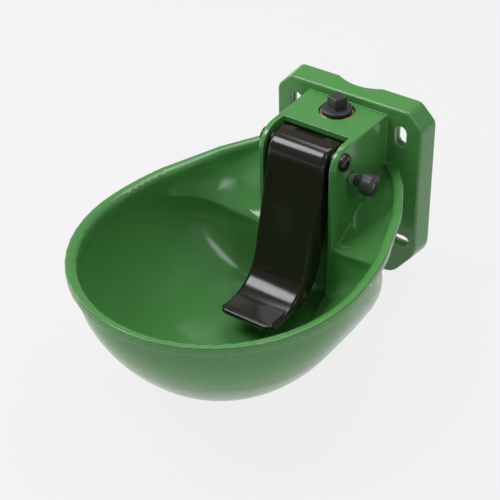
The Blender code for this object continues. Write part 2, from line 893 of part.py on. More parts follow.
def tongue_round(point):
    """Full round along the face, less at the back edge and the lip, almost none on free edges."""
    on_face = min(math.dist(point, face_point) for face_point in face_line + lip_line)
    if on_face > tongue_free_edge_round:
        return tongue_free_edge_round
    back = min(1.0, (tongue_back_y - point[0]) / (tongue_back_y - tongue_wrap_y))
    side = blend(tongue_back_round, tongue_edge_round, back)
    return blend(side, 0.8 * lip_bead, min(1.0, 3.0 * lip_share(point)))


face_line = tongue_face()
lip_line = tongue_lip()


def offset_line(points, distance):
    """Open line moved sideways, to the right of its direction for a positive distance."""
    moved = []
    for index, point in enumerate(points):
        before = points[max(0, index - 1)]
        after = points[min(len(points) - 1, index + 1)]
        tangent = Vector((after[0] - before[0], after[1] - before[1])).normalized()
        moved.append((point[0] + tangent.y * distance, point[1] - tangent.x * distance))
    return moved


def build_tongue():
    """Push tongue: a moulded shell with side skirts, hubs on the sleeve and a pusher pad."""
    outline = face_line + lip_line[1:-1] + tongue_rear()
    tongue = make_object("tongue", slab(outline, tongue_half, tongue_round), black_plastic)
    inner = offset_line(tongue_wrap() + tongue_bend(), -tongue_wall)
    inner[0] = (tongue_back_y + cut_overrun, tongue_top_z - tongue_wall)
    under = lip_z - tongue_lip_thickness - 2.0 * cut_overrun
    hollow = inner + [(inner[-1][0], under), (tongue_back_y + cut_overrun, under)]
    wall = tongue_wall
    cutter = slab(hollow, lambda point: tongue_half(point) - wall, lambda point: wall / 8.0)
    combine(tongue, [cutter], "DIFFERENCE")
    hubs = []
    for side in (1.0, -1.0):
        outer = tongue_half_width - tongue_wall / 2.0
        hub = disc(tongue_hub_radius, -tongue_hub_length / 2.0, tongue_hub_length / 2.0)
        hubs.append(placed(hub, ALONG_X, (side * (outer - tongue_hub_length / 2.0),
                                          pivot_y, pivot_z)))
    face_y = bend_y + (valve_z - tongue_bend_z) * tongue_lean
    pad = box((-tongue_pad_half_width, face_y + tongue_wall / 2.0, valve_z - tongue_pad_height / 2.0),
              (tongue_pad_half_width, plunger_tip_y - seat_gap, valve_z + tongue_pad_height / 2.0))
    combine(tongue, hubs + [pad], "UNION")
    bore = disc(sleeve_radius + running_gap, -tongue_half_width - cut_overrun,
                tongue_half_width + cut_overrun)
    notch = box((-tongue_notch_half_width, tongue_back_y - tongue_notch_length,
                 tongue_top_z - tongue_notch_depth),
                (tongue_notch_half_width, tongue_back_y + cut_overrun,
                 tongue_top_z + cut_overrun))
    combine(tongue, [placed(bore, ALONG_X, (0.0, pivot_y, pivot_z)), notch], "DIFFERENCE")
    set_origin(tongue, (0.0, pivot_y, pivot_z))
    return shade(tongue)


# Pivot hardware

cheek_outer_x = housing_half((pivot_y, pivot_z))


def build_pivot():
    """Bolt through both cheeks, a sleeve for the tongue, and a barrel nut in the left cheek."""
    sleeve_half = cheek_gap_half - seat_gap
    inner = bolt_radius + bolt_hole_gap
    ring = [(inner, -sleeve_half), (sleeve_radius, -sleeve_half),
            (sleeve_radius, sleeve_half), (inner, sleeve_half)]
    axis = (0.0, pivot_y, pivot_z)
    make_object("pivot_sleeve", placed(turned(ring, ring_sides), ALONG_X, axis), stainless)

    head_low = cheek_outer_x + seat_gap
    head_high = head_low + bolt_head_height
    barrel_head_low = -cheek_outer_x - seat_gap
    bore_end = barrel_head_low - bolt_hole_gap
    crown = low_head(bolt_head_radius, head_low, bolt_head_height, bolt_head_crown)
    profile = [(0.0, bore_end + seat_gap), (bolt_radius, bore_end + seat_gap),
               (bolt_radius, head_low)] + crown
    bolt = make_object("pivot_bolt", placed(turned(profile, round_sides), ALONG_X, axis),
                       black_steel)
    socket = polygon_prism(hexagon(bolt_socket_flats), head_high - bolt_socket_depth,
                           head_high + cut_overrun)
    combine(bolt, [placed(socket, ALONG_X, axis)], "DIFFERENCE")
    shade(bolt)

    head_end = barrel_head_low - barrel_head_height
    crown = low_head(barrel_head_radius, barrel_head_low, -barrel_head_height, -barrel_head_crown)
    mouth = -cheek_gap_half
    profile = [(0.0, bore_end), (inner, bore_end), (inner, mouth), (barrel_radius, mouth),
               (barrel_radius, barrel_head_low)] + crown
    nut = make_object("pivot_nut", placed(turned(profile, round_sides), ALONG_X, axis), black_steel)
    socket = polygon_prism(hexagon(bolt_socket_flats), head_end - cut_overrun,
                           head_end + barrel_socket_depth)
    combine(nut, [placed(socket, ALONG_X, axis)], "DIFFERENCE")
    shade(nut)


def low_head(radius, seat, height, crown):
    """Profile of a low round head from its seat to its middle; height and crown share a sign."""
    round_off = 0.45 * radius
    points = [(radius, seat)]
    for r, rise in arc_points((radius - round_off, 0.0), round_off, 0.0, 90.0):
        points.append((r, seat + crown + rise * (height - crown) / round_off))
    return points + [(0.0, seat + height)]


def build_nut(name, flats, low, high, thread_radius, axis, finish):
    """Hexagon nut along X with chamfered corners and a clear bore."""
    nut = make_object(name, placed(polygon_prism(hexagon(flats), low, high), ALONG_X, axis), finish)
    corner = flats / 2.0 / math.cos(math.radians(30.0))
    trim = corner - flats / 2.0
    cone = turned([(0.0, low - cut_overrun), (flats / 2.0, low - seat_gap),
                   (corner + trim, low + trim), (corner + trim, high - trim),
                   (flats / 2.0, high + seat_gap), (0.0, high + cut_overrun)], small_sides)
    combine(nut, [placed(cone, ALONG_X, axis)], "INTERSECT")
    bore = disc(thread_radius + bolt_hole_gap, low - cut_overrun, high + cut_overrun, small_sides)
    combine(nut, [placed(bore, ALONG_X, axis)], "DIFFERENCE")
    return shade(nut)


# Valve

boss_front_y = chamber_front_y + seat_gap


def build_tee():
    """Brass tee: threaded inlets at top and bottom, a port to the front."""
    mid = (tee_top_z + tee_bottom_z) / 2.0
    outer, bore, thread = tee_radius, tee_bore_radius, tee_thread_radius
    profile = [
        (thread, tee_bottom_z), (outer - tee_chamfer, tee_bottom_z),
        (outer, tee_bottom_z + tee_chamfer), (outer, tee_top_z - tee_chamfer),
        (outer - tee_chamfer, tee_top_z), (thread, tee_top_z),
        (thread, tee_top_z - tee_thread_depth), (bore, tee_top_z - tee_thread_depth - tee_chamfer),
        (bore, mid), (bore, tee_bottom_z + tee_thread_depth + tee_chamfer),
        (thread, tee_bottom_z + tee_thread_depth),
    ]
    tee = make_object("valve_tee", placed(turned(profile, round_sides), Matrix.Identity(4),
                                          (0.0, valve_y, 0.0)), brass)
    boss_length = valve_y - boss_front_y
    boss = disc(tee_boss_radius, (tee_bore_radius + tee_radius) / 2.0, boss_length)
    combine(tee, [placed(boss, ALONG_MINUS_Y, (0.0, valve_y, valve_z))], "UNION")
    port = disc(tee_boss_bore_radius, tee_bore_radius / 2.0, boss_length + cut_overrun)
    combine(tee, [placed(port, ALONG_MINUS_Y, (0.0, valve_y, valve_z))], "DIFFERENCE")
    return shade(tee)


gasket_back_y = chamber_front_y - chamber_wall - seat_gap
gasket_front_y = gasket_back_y - nozzle_gasket_thickness
flange_back_y = gasket_front_y - seat_gap
flange_front_y = flange_back_y - nozzle_flange_thickness
nozzle_back_y = chamber_front_y + nozzle_thread_length
seat_back_y = nozzle_back_y - seat_gap
seat_front_y = seat_back_y - seat_length
ring_seat_radius = spindle_radius + running_gap + 2.0 * side_ring_section + seat_gap
ring_seat_depth = 2.0 * side_ring_section + seat_gap


def along_y(solid):
    """Place a solid made along local Z so that height h lies at Y = -h on the nozzle's axis."""
    return placed(solid, ALONG_MINUS_Y, (0.0, 0.0, valve_z))


def build_nozzle():
    """Nozzle body with its hexagon flange, side port and outlet, and the pieces inside it."""
    thread = nozzle_thread_radius
    barrel = nozzle_barrel_radius
    pocket = seat_radius + seat_gap
    back, front = -nozzle_back_y, -nozzle_front_y
    step = -seat_front_y + seat_gap
    profile = [
        (pocket, back), (thread, back), (thread, -flange_back_y), (barrel, -flange_back_y),
        (barrel, front), (nozzle_barrel_bore_radius, front),
        (nozzle_barrel_bore_radius, -flange_front_y), (nozzle_bore_radius, -flange_front_y),
        (nozzle_bore_radius, step), (pocket, step),
    ]
    nozzle = make_object("nozzle_body", along_y(turned(profile, round_sides)), brass)
    flange = polygon_prism(hexagon(nozzle_flange_flats, 30.0), -flange_back_y, -flange_front_y)
    inner = (nozzle_barrel_bore_radius + barrel) / 2.0
    side_port = disc(side_port_radius, inner, side_port_x, small_sides)
    combine(nozzle, [along_y(hollow_hexagon(flange, inner))], "UNION")
    combine(nozzle, [placed(side_port, ALONG_X, (0.0, regulator_y, valve_z))], "UNION")
    bore = disc(spindle_radius + 2.0 * running_gap, nozzle_barrel_bore_radius / 2.0,
                side_port_x + cut_overrun, small_sides)
    outlet = disc(outlet_radius, -barrel - cut_overrun, 0.0, small_sides)
    outlet_x = (barrel + side_port_x - ring_seat_depth) / 2.0
    seat = disc(ring_seat_radius, side_port_x - ring_seat_depth, side_port_x + cut_overrun,
                small_sides)
    combine(nozzle, [
        placed(bore, ALONG_X, (0.0, regulator_y, valve_z)),
        placed(seat, ALONG_X, (0.0, regulator_y, valve_z)),
        placed(outlet, Matrix.Identity(4), (outlet_x, regulator_y, valve_z)),
    ], "DIFFERENCE")
    shade(nozzle)

    inner = nozzle_thread_radius + nozzle_thread_gap
    gasket = [(inner, -gasket_back_y), (nozzle_gasket_radius, -gasket_back_y),
              (nozzle_gasket_radius, -gasket_front_y), (inner, -gasket_front_y)]
    make_object("nozzle_gasket", along_y(turned(gasket, ring_sides)), rubber)

    lip = seat_radius - seat_bore_radius
    seat = [(seat_bore_radius, -seat_back_y), (seat_bore_radius + lip / 3.0, -seat_back_y),
            (seat_bore_radius + lip / 2.0, -seat_back_y + lip / 4.0),
            (seat_radius, -seat_back_y + lip / 4.0),
            (seat_radius, -seat_front_y), (seat_bore_radius, -seat_front_y)]
    make_object("valve_seat", along_y(turned(seat, ring_sides)), white_plastic)


def hollow_hexagon(solid, radius):
    """Cut a round hole through a hexagon so that it joins a turned body as a collar."""
    block = make_object("collar", solid, None)
    hole = disc(radius, -flange_back_y - cut_overrun, -flange_front_y + cut_overrun)
    combine(block, [hole], "DIFFERENCE")
    collar = bmesh.new()
    collar.from_mesh(block.data)
    bpy.data.objects.remove(block, do_unlink=True)
    return collar


ring_back_y = nozzle_front_y - seat_gap
ring_front_y = ring_back_y - 2.0 * gland_ring_section
gland_head_back_y = ring_front_y - seat_gap
gland_head_front_y = gland_head_back_y - gland_head_thickness


def torus(name, ring_radius, section_radius, centre_height, axis_turn, location, finish):
    """O-ring with a round section."""
    section = arc_points((ring_radius, centre_height), section_radius, 0.0, 300.0, 5)
    return make_object(name, placed(turned(section, ring_sides), axis_turn, location), finish)


def build_gland():
    """Hexagon gland screw that closes the nozzle and guides the plunger, with its O-ring."""
    bore = plunger_radius + gland_bore_gap
    stub_back = -nozzle_front_y - gland_stub_length
    stub = [(bore, stub_back), (gland_stub_radius, stub_back),
            (gland_stub_radius, -gland_head_front_y), (bore, -gland_head_front_y)]
    gland = make_object("gland_screw", along_y(turned(stub, round_sides)), brass)
    head = polygon_prism(hexagon(gland_flats, 30.0), -gland_head_back_y, -gland_head_front_y)
    combine(gland, [along_y(head)], "UNION")
    hole = disc(bore, stub_back - cut_overrun, -gland_head_front_y + cut_overrun, small_sides)
    combine(gland, [along_y(hole)], "DIFFERENCE")
    shade(gland)
    centre = (-ring_back_y - ring_front_y) / 2.0
    torus("gland_ring", gland_ring_radius, gland_ring_section, centre, ALONG_MINUS_Y,
          (0.0, 0.0, valve_z), rubber)


seal_front_y = seat_back_y + seat_gap
seal_back_y = seal_front_y + seal_thickness
clip_back_y = nozzle_front_y + gland_stub_length + seat_gap


def build_plunger():
    """Plunger pin with its head, the seal against the seat, the spring and its clip."""
    head_front = -(seal_back_y + seat_gap)
    head_back = head_front - plunger_head_thickness
    tip = -plunger_tip_y
    profile = [
        (0.0, head_back), (plunger_head_radius, head_back), (plunger_head_radius, head_front),
        (plunger_radius, head_front), (plunger_radius, tip - plunger_tip_round),
        (plunger_radius - plunger_tip_round, tip), (0.0, tip),
    ]
    plunger = make_object("plunger", along_y(turned(profile, small_sides)), stainless)
    set_origin(plunger, (0.0, 0.0, valve_z))

    inner = plunger_radius + gland_bore_gap
    seal = [(inner, -seal_back_y), (seal_radius, -seal_back_y),
            (seal_radius, -seal_front_y), (inner, -seal_front_y)]
    make_object("valve_seal", along_y(turned(seal, ring_sides)), rubber)

    clip_front = clip_back_y + seat_gap
    clip = [(inner, -clip_front - clip_thickness), (clip_radius, -clip_front - clip_thickness),
            (clip_radius, -clip_front), (inner, -clip_front)]
    make_object("spring_clip", along_y(turned(clip, small_sides)), stainless)

    spring_front = clip_front + clip_thickness + seat_gap
    spring_back = flange_front_y - seat_gap
    build_spring(spring_front, spring_back)


def build_spring(front_y, back_y):
    """Round-wire compression spring round the plunger."""
    steps = spring_turns * 10
    low = front_y + spring_wire_radius
    high = back_y - spring_wire_radius
    rings = []
    for index in range(steps + 1):
        turn = 2.0 * math.pi * spring_turns * index / steps
        y = blend(low, high, index / steps)
        section = arc_points((spring_radius, y), spring_wire_radius, 0.0,
                             360.0 - 360.0 / spring_sides, spring_sides - 1)
        rings.append([
            (radius * math.cos(turn), along, valve_z + radius * math.sin(turn))
            for radius, along in section
        ])
    make_object("return_spring", loft(rings), stainless, smooth_angle=80.0)


# Flow regulator

regulator_axis = (0.0, regulator_y, valve_z)
cheek_at_regulator = housing_half((regulator_y, valve_z))
lock_nut_low = cheek_at_regulator + seat_gap
lock_nut_high = lock_nut_low + lock_nut_height
neck_low = lock_nut_high + seat_gap
head_low = neck_low + knob_neck_length
head_high = head_low + knob_length


def build_regulator():
    """Spindle, knob, lock nut, moulded-in insert and the spindle's O-ring."""
    insert_low = cheek_gap_half
    insert_high = cheek_at_regulator - insert_recess
    inner = spindle_radius + bolt_hole_gap
    insert = [(inner, insert_low), (insert_radius, insert_low),
              (insert_radius, insert_high), (inner, insert_high)]
    make_object("regulator_insert", placed(turned(insert, ring_sides), ALONG_X, regulator_axis),
                brass)
    build_nut("regulator_lock_nut", lock_nut_flats, lock_nut_low, lock_nut_high, spindle_radius,
              regulator_axis, zinc)

    tip_low = nozzle_barrel_radius - spindle_tip_length / 3.0
    face = head_high - knob_recess_depth
    tip_high = tip_low + spindle_tip_length
    spindle = [
        (0.0, tip_low), (spindle_tip_radius / 2.0, tip_low),
        (spindle_tip_radius, tip_low + spindle_tip_radius), (spindle_tip_radius, tip_high),
        (spindle_radius, tip_high + spindle_radius - spindle_tip_radius),
        (spindle_radius, face), (0.0, face),
    ]
    spindle = make_object("regulator_spindle",
                          placed(turned(spindle, ring_sides), ALONG_X, regulator_axis), stainless)
    set_origin(spindle, regulator_axis)

    hole = spindle_radius + knob_bore_gap
    profile = [
        (hole, neck_low), (knob_neck_radius, neck_low), (knob_neck_end_radius, head_low),
        (knob_radius - knob_edge_round, head_low), (knob_radius, head_low + knob_edge_round),
        (knob_radius, head_high - knob_edge_round), (knob_radius - knob_edge_round, head_high),
        (knob_recess_radius, head_high), (knob_recess_radius, face), (hole, face),
    ]
    knob = make_object("regulator_knob", placed(turned(profile, round_sides), ALONG_X,
                                                regulator_axis), dark_plastic)
    set_origin(knob, regulator_axis)
    ring_at = side_port_x - side_ring_section
    torus("spindle_ring", spindle_radius + running_gap + side_ring_section, side_ring_section,
          ring_at, ALONG_X, regulator_axis, rubber)


# Blanking plug

plug_ring_low = tee_top_z + seat_gap
plug_ring_high = plug_ring_low + plug_ring_thickness
flange_low = plug_ring_high + seat_gap
flange_high = flange_low + plug_flange_thickness
plug_top_z = flange_high + plug_square_height


def build_plug():
    """Black plug with a square head in the upper inlet, and its sealing ring."""
    place = (0.0, valve_y, 0.0)
    edge = plug_square_round
    low = tee_top_z - plug_stub_length
    profile = [
        (0.0, low), (plug_stub_radius - edge, low), (plug_stub_radius, low + edge),
        (plug_stub_radius, flange_low), (plug_flange_radius - edge, flange_low),
        (plug_flange_radius, flange_low + edge), (plug_flange_radius, flange_high - edge),
        (plug_flange_radius - edge, flange_high), (0.0, flange_high),
    ]
    plug = make_object("blanking_plug", placed(turned(profile, round_sides),
                                               Matrix.Identity(4), place), dark_plastic)
    half = plug_square / 2.0
    corners = []
    for x, y, start in ((1, 1, 0.0), (-1, 1, 90.0), (-1, -1, 180.0), (1, -1, 270.0)):
        centre = (x * (half - edge), y * (half - edge))
        corners += arc_points(centre, edge, start, start + 90.0, 2)
    rings = [
        [(x, y, flange_high - join_depth / 2.0) for x, y in corners],
        [(x, y, plug_top_z - edge) for x, y in corners],
        [(x * (1.0 - edge / half), y * (1.0 - edge / half), plug_top_z) for x, y in corners],
    ]
    square = loft(rings)
    turn = Matrix.Rotation(math.radians(plug_square_turn), 4, "Z")
    combine(plug, [placed(square, turn, place)], "UNION")
    shade(plug)
    inner = plug_stub_radius + seat_gap
    ring = [(inner, plug_ring_low), (plug_ring_radius, plug_ring_low),
            (plug_ring_radius, plug_ring_high), (inner, plug_ring_high)]
    make_object("plug_gasket", placed(turned(ring, round_sides), Matrix.Identity(4), place), rubber)


build_bowl_body()
build_tongue()
build_pivot()
build_tee()
build_nozzle()
build_gland()
build_plunger()
build_regulator()
build_plug()
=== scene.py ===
# %% [markdown]
# # A livestock drinking bowl, dressed for the camera
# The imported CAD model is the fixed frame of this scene. Each later cell takes one piece or one
# finish of the real object and shows one way to make it in Blender.

import math

import bmesh
import bpy
from mathutils import Matrix, Vector
from mathutils.kdtree import KDTree


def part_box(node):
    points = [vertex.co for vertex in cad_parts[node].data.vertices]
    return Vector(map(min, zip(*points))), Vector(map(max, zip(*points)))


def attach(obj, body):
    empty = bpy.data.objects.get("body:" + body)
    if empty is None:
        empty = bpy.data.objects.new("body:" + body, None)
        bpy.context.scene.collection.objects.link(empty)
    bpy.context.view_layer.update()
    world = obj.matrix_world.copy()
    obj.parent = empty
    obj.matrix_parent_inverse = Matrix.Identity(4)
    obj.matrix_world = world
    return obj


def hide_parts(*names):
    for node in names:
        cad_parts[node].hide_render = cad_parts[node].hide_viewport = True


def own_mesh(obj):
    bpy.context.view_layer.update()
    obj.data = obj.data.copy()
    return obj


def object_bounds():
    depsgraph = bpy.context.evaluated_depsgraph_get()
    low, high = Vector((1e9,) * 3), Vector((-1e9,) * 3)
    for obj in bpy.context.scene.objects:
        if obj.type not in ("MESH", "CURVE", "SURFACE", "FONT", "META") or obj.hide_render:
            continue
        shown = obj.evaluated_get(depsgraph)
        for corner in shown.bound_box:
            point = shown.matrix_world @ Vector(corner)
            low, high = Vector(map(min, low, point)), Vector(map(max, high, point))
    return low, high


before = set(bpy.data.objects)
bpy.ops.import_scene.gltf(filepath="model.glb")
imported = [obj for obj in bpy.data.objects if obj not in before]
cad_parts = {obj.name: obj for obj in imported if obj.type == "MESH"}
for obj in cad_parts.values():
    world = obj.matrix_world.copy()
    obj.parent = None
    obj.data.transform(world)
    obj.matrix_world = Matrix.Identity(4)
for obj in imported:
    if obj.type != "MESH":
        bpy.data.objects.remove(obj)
cad_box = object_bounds()
scene = bpy.context.scene
print("CAD box:", [tuple(round(c, 4) for c in corner) for corner in cad_box])

# %% [markdown]
# ## Camera
# A product photograph like this one is taken with a long lens from above and to the right. The
# camera's place was solved from straight edges and round forms of known shape, so it is written
# as a position, two viewing angles and a small roll. A matrix built from those angles is easier
# to check than a tracking constraint.

# %% Camera
camera_azimuth, camera_elevation, camera_roll = (math.radians(v) for v in (36.29, 36.47, -1.39))
camera_place = Vector((0.56026, -0.93737, 0.70979))
camera_lens, camera_sensor = 99.66, 36.0
camera_near, camera_far = 0.05, 60.0

back = Vector((math.sin(camera_azimuth) * math.cos(camera_elevation),
               -math.cos(camera_azimuth) * math.cos(camera_elevation),
               math.sin(camera_elevation)))
level = Vector((math.cos(camera_azimuth), math.sin(camera_azimuth), 0.0))
upright = back.cross(level)
across = level * math.cos(camera_roll) + upright * math.sin(camera_roll)
upward = upright * math.cos(camera_roll) - level * math.sin(camera_roll)

camera_data = bpy.data.cameras.new("camera")
camera_data.lens = camera_lens
camera_data.sensor_width = camera_sensor
camera_data.clip_start = camera_near
camera_data.clip_end = camera_far
camera = bpy.data.objects.new("camera", camera_data)
camera_turn = Matrix((across, upward, back)).transposed().to_4x4()
camera.matrix_world = Matrix.Translation(camera_place) @ camera_turn
scene.collection.objects.link(camera)
scene.camera = camera
print("camera at", tuple(round(c, 3) for c in camera_place))

# %% [markdown]
# ## Helpers for node trees
# Materials and Geometry Nodes are both trees of nodes. Three small helpers keep them readable:
# one makes a node with its values, one makes a Math node, and one links sockets in pairs.

# %% Node helpers
def node(tree, kind, values=None, **settings):
    """A node with its settings and unlinked values given at once."""
    made = tree.nodes.new(kind)
    for key, value in settings.items():
        setattr(made, key, value)
    for key, value in (values or {}).items():
        made.inputs[key].default_value = value
    return made


def maths(tree, operation, first, second):
    """One Math node; each input is a socket or a number."""
    made = node(tree, "ShaderNodeMath", operation=operation)
    for place, value in enumerate((first, second)):
        if isinstance(value, (int, float)):
            made.inputs[place].default_value = value
        else:
            tree.links.new(value, made.inputs[place])
    return made.outputs[0]


def link_all(tree, *pairs):
    """Links each pair of an output and an input."""
    for start, end in pairs:
        tree.links.new(start, end)


print("helpers:", node.__name__, maths.__name__, link_all.__name__)

# %% [markdown]
# ## Floor
# The object stands on a pale floor. It is a curved sweep, as in a photographer's studio: flat
# round the object and bent up far behind it, so no horizon line shows in low views. One outline
# of points, drawn out sideways, is enough for it.

# %% Floor sweep
floor_gap = 0.0004
floor_height = cad_box[0].z - floor_gap
floor_half_width = 12.0
floor_front, bend_start = -9.0, 4.0
bend_radius, bend_steps = 3.0, 12
wall_top = 9.0


def make_floor():
    """A wide flat floor that curves up far behind the object."""
    profile = [(floor_front, 0.0), (bend_start, 0.0)]
    for step in range(1, bend_steps + 1):
        angle = math.radians(90.0 * step / bend_steps)
        profile.append((bend_start + bend_radius * math.sin(angle),
                        bend_radius - bend_radius * math.cos(angle)))
    profile.append((bend_start + bend_radius, wall_top))
    solid = bmesh.new()
    sides = (-floor_half_width, floor_half_width)
    rows = [[solid.verts.new((x, y, floor_height + z)) for x in sides] for y, z in profile]
    for low, high in zip(rows[:-1], rows[1:]):
        solid.faces.new((low[0], low[1], high[1], high[0]))
    mesh = bpy.data.meshes.new("floor")
    solid.to_mesh(mesh)
    solid.free()
    mesh.shade_smooth()
    made = bpy.data.objects.new("floor", mesh)
    scene.collection.objects.link(made)
    return made


floor = make_floor()
print("floor at", round(floor_height, 4))

# %% [markdown]
# ## Backdrop paper
# The photograph's backdrop is an even, near-white grey with only a breath of shadow. Turning up
# the lamps would wash out the object, so the floor's material does it: for rays from the camera
# and for mirrored rays it is mostly its own even light, and only a small part of it is shaded.
# The raised part behind gets darker with height, so glossy tops don't mirror a white wall. The
# first step makes the two parts of that light.

# %% Backdrop light
dim_height, dim_share = 1.5, 0.30


def direct_rays(tree):
    """1 for rays that come from the camera, a mirror or glass, and 0 for all others."""
    rays = node(tree, "ShaderNodeLightPath")
    seen = rays.outputs["Is Camera Ray"]
    for name in ("Is Glossy Ray", "Is Transmission Ray"):
        seen = maths(tree, "MAXIMUM", seen, rays.outputs[name])
    return seen


def backdrop_glow(tree, place, pale):
    """Even pale light that falls to a share of itself at a height above the floor."""
    glow = node(tree, "ShaderNodeEmission", {"Color": (pale, pale, pale, 1.0)})
    height = node(tree, "ShaderNodeSeparateXYZ")
    dimmer = node(tree, "ShaderNodeMapRange",
                  {"From Max": dim_height, "To Min": 1.0, "To Max": dim_share})
    link_all(tree, (place, height.inputs["Vector"]), (height.outputs["Z"], dimmer.inputs["Value"]),
             (dimmer.outputs["Result"], glow.inputs["Strength"]))
    return glow


print("backdrop helpers:", direct_rays.__name__, backdrop_glow.__name__)

# %% [markdown]
# The finish itself mixes that even light with plain matt paper. Light that bounces sees the paper
# alone, so the object is lit from below as a real sheet would light it.

# %% Floor finish
def floor_material(pale, shaded_share):
    """Pale paper: even where it is looked at or mirrored, plain paper where light bounces."""
    made = bpy.data.materials.new("backdrop_paper")
    made.use_nodes = True
    tree = made.node_tree
    paper = tree.nodes["Principled BSDF"]
    paper.inputs["Roughness"].default_value = 0.9
    paper.inputs["Specular IOR Level"].default_value = 0.1
    place = node(tree, "ShaderNodeTexCoord").outputs["Object"]
    fibre = node(tree, "ShaderNodeTexNoise", {"Scale": 6.0})
    tone = node(tree, "ShaderNodeMapRange", {"To Min": 0.86, "To Max": 0.90})
    glow = backdrop_glow(tree, place, pale)
    share = maths(tree, "MULTIPLY", direct_rays(tree), 1.0 - shaded_share)
    mix = node(tree, "ShaderNodeMixShader")
    link_all(tree, (place, fibre.inputs["Vector"]), (fibre.outputs["Fac"], tone.inputs["Value"]),
             (tone.outputs["Result"], paper.inputs["Base Color"]), (share, mix.inputs["Fac"]),
             (paper.outputs["BSDF"], mix.inputs[1]), (glow.outputs["Emission"], mix.inputs[2]),
             (mix.outputs["Shader"], tree.nodes["Material Output"].inputs["Surface"]))
    return made


floor.data.materials.append(floor_material(pale=0.895, shaded_share=0.07))
print("floor finish:", floor.data.materials[0].name)

# %% [markdown]
# ## Lamps
# Studio light on glossy plastic comes from wide area lamps: their width sets how soft a shadow's
# edge is and how wide a highlight is. The key lamp stands in front on the left, the top lamp lights
# the roof and the rim from behind, and the right lamp draws the slanting streak inside the bowl.
# They are a little cool, as in the photograph.

# %% Lamps and world
lamp_colour = (0.95, 0.99, 1.0)
lamp_target = Vector((0.0, -0.17, 0.0))
world_strength = 0.24


def soft_lamp(name, place, size, power):
    """One rectangular area lamp that points at the object."""
    data = bpy.data.lights.new(name, "AREA")
    data.shape = "RECTANGLE"
    data.size, data.size_y = size
    data.energy = power
    data.color = lamp_colour
    lamp = bpy.data.objects.new(name, data)
    lamp.location = place
    lamp.rotation_euler = (lamp_target - Vector(place)).to_track_quat("-Z", "Y").to_euler()
    scene.collection.objects.link(lamp)


soft_lamp("lamp_key", place=(-0.78, -0.62, 1.30), size=(0.60, 0.60), power=11.0)
soft_lamp("lamp_top", place=(-0.15, 0.45, 1.60), size=(1.30, 0.70), power=13.0)
soft_lamp("lamp_left", place=(-1.70, -0.40, 0.90), size=(0.50, 1.10), power=9.0)
soft_lamp("lamp_right", place=(1.45, -0.50, 1.30), size=(0.35, 0.80), power=4.5)

world = bpy.data.worlds.new("studio")
scene.world = world
world.use_nodes = True
sky = world.node_tree.nodes["Background"]
sky.inputs["Color"].default_value = (1.0, 1.0, 1.0, 1.0)
sky.inputs["Strength"].default_value = world_strength
scene.view_settings.view_transform = "Standard"

# %% [markdown]
# ## Shared effects
# Every finish shares a few small effects: a fine grain with a soft cloudiness and light wear.
# The large mouldings also get a painted highlight: a bright line painted along each moulded edge.
# Each is a shader node group, made once and placed in each material with its own values. Groups
# only give numbers that change over the surface, and the shader itself stays in the material.

# %% Group helper
def new_group(name, inputs, outputs):
    """An empty shader node group with named inputs and outputs."""
    tree = bpy.data.node_groups.new(name, "ShaderNodeTree")
    for label, kind, value in inputs:
        made = tree.interface.new_socket(label, in_out="INPUT", socket_type=kind)
        if value is not None:
            made.default_value = value
    for label in outputs:
        tree.interface.new_socket(label, in_out="OUTPUT", socket_type="NodeSocketFloat")
    return tree, tree.nodes.new("NodeGroupInput"), tree.nodes.new("NodeGroupOutput")


print("group helper:", new_group.__name__)

# %% [markdown]
# A moulding copies its tool: most of it is smooth, with a grain too fine to see singly, and its
# gloss drifts a little from place to place. Two noises of different size make that.

# %% Shared effect: moulded surface
cloud_share = 0.6


def build_moulded_group():
    """Cloudy roughness, faint grain and flow marks of an injection moulding."""
    tree, given, result = new_group(
        "moulded_surface",
        [("Vector", "NodeSocketVector", None), ("Roughness", "NodeSocketFloat", 0.3),
         ("Cloudiness", "NodeSocketFloat", 0.08), ("Grain scale", "NodeSocketFloat", 900.0),
         ("Grain depth", "NodeSocketFloat", 0.2)],
        ["Roughness", "Height", "Mask"])
    cloud = node(tree, "ShaderNodeTexNoise", {"Scale": 22.0, "Detail": 3.0})
    fine = node(tree, "ShaderNodeTexNoise", {"Detail": 2.0})
    centred = maths(tree, "SUBTRACT", cloud.outputs["Fac"], 0.5)
    spread = maths(tree, "MULTIPLY", centred, given.outputs["Cloudiness"])
    rough = maths(tree, "ADD", given.outputs["Roughness"], spread)
    grain = maths(tree, "MULTIPLY", fine.outputs["Fac"], given.outputs["Grain depth"])
    flow = maths(tree, "MULTIPLY", cloud.outputs["Fac"], cloud_share)
    link_all(tree, (given.outputs["Vector"], cloud.inputs["Vector"]),
             (given.outputs["Vector"], fine.inputs["Vector"]),
             (given.outputs["Grain scale"], fine.inputs["Scale"]),
             (rough, result.inputs["Roughness"]),
             (maths(tree, "ADD", grain, flow), result.inputs["Height"]),
             (cloud.outputs["Fac"], result.inputs["Mask"]))
    return tree


moulded_surface = build_moulded_group()
print("group", moulded_surface.name, "has", len(moulded_surface.nodes), "nodes")

# %% [markdown]
# Handling rubs the corners that stick out. Pointiness tells how far a place sticks out, and a
# noise breaks the rubbed line up, because no edge wears evenly.

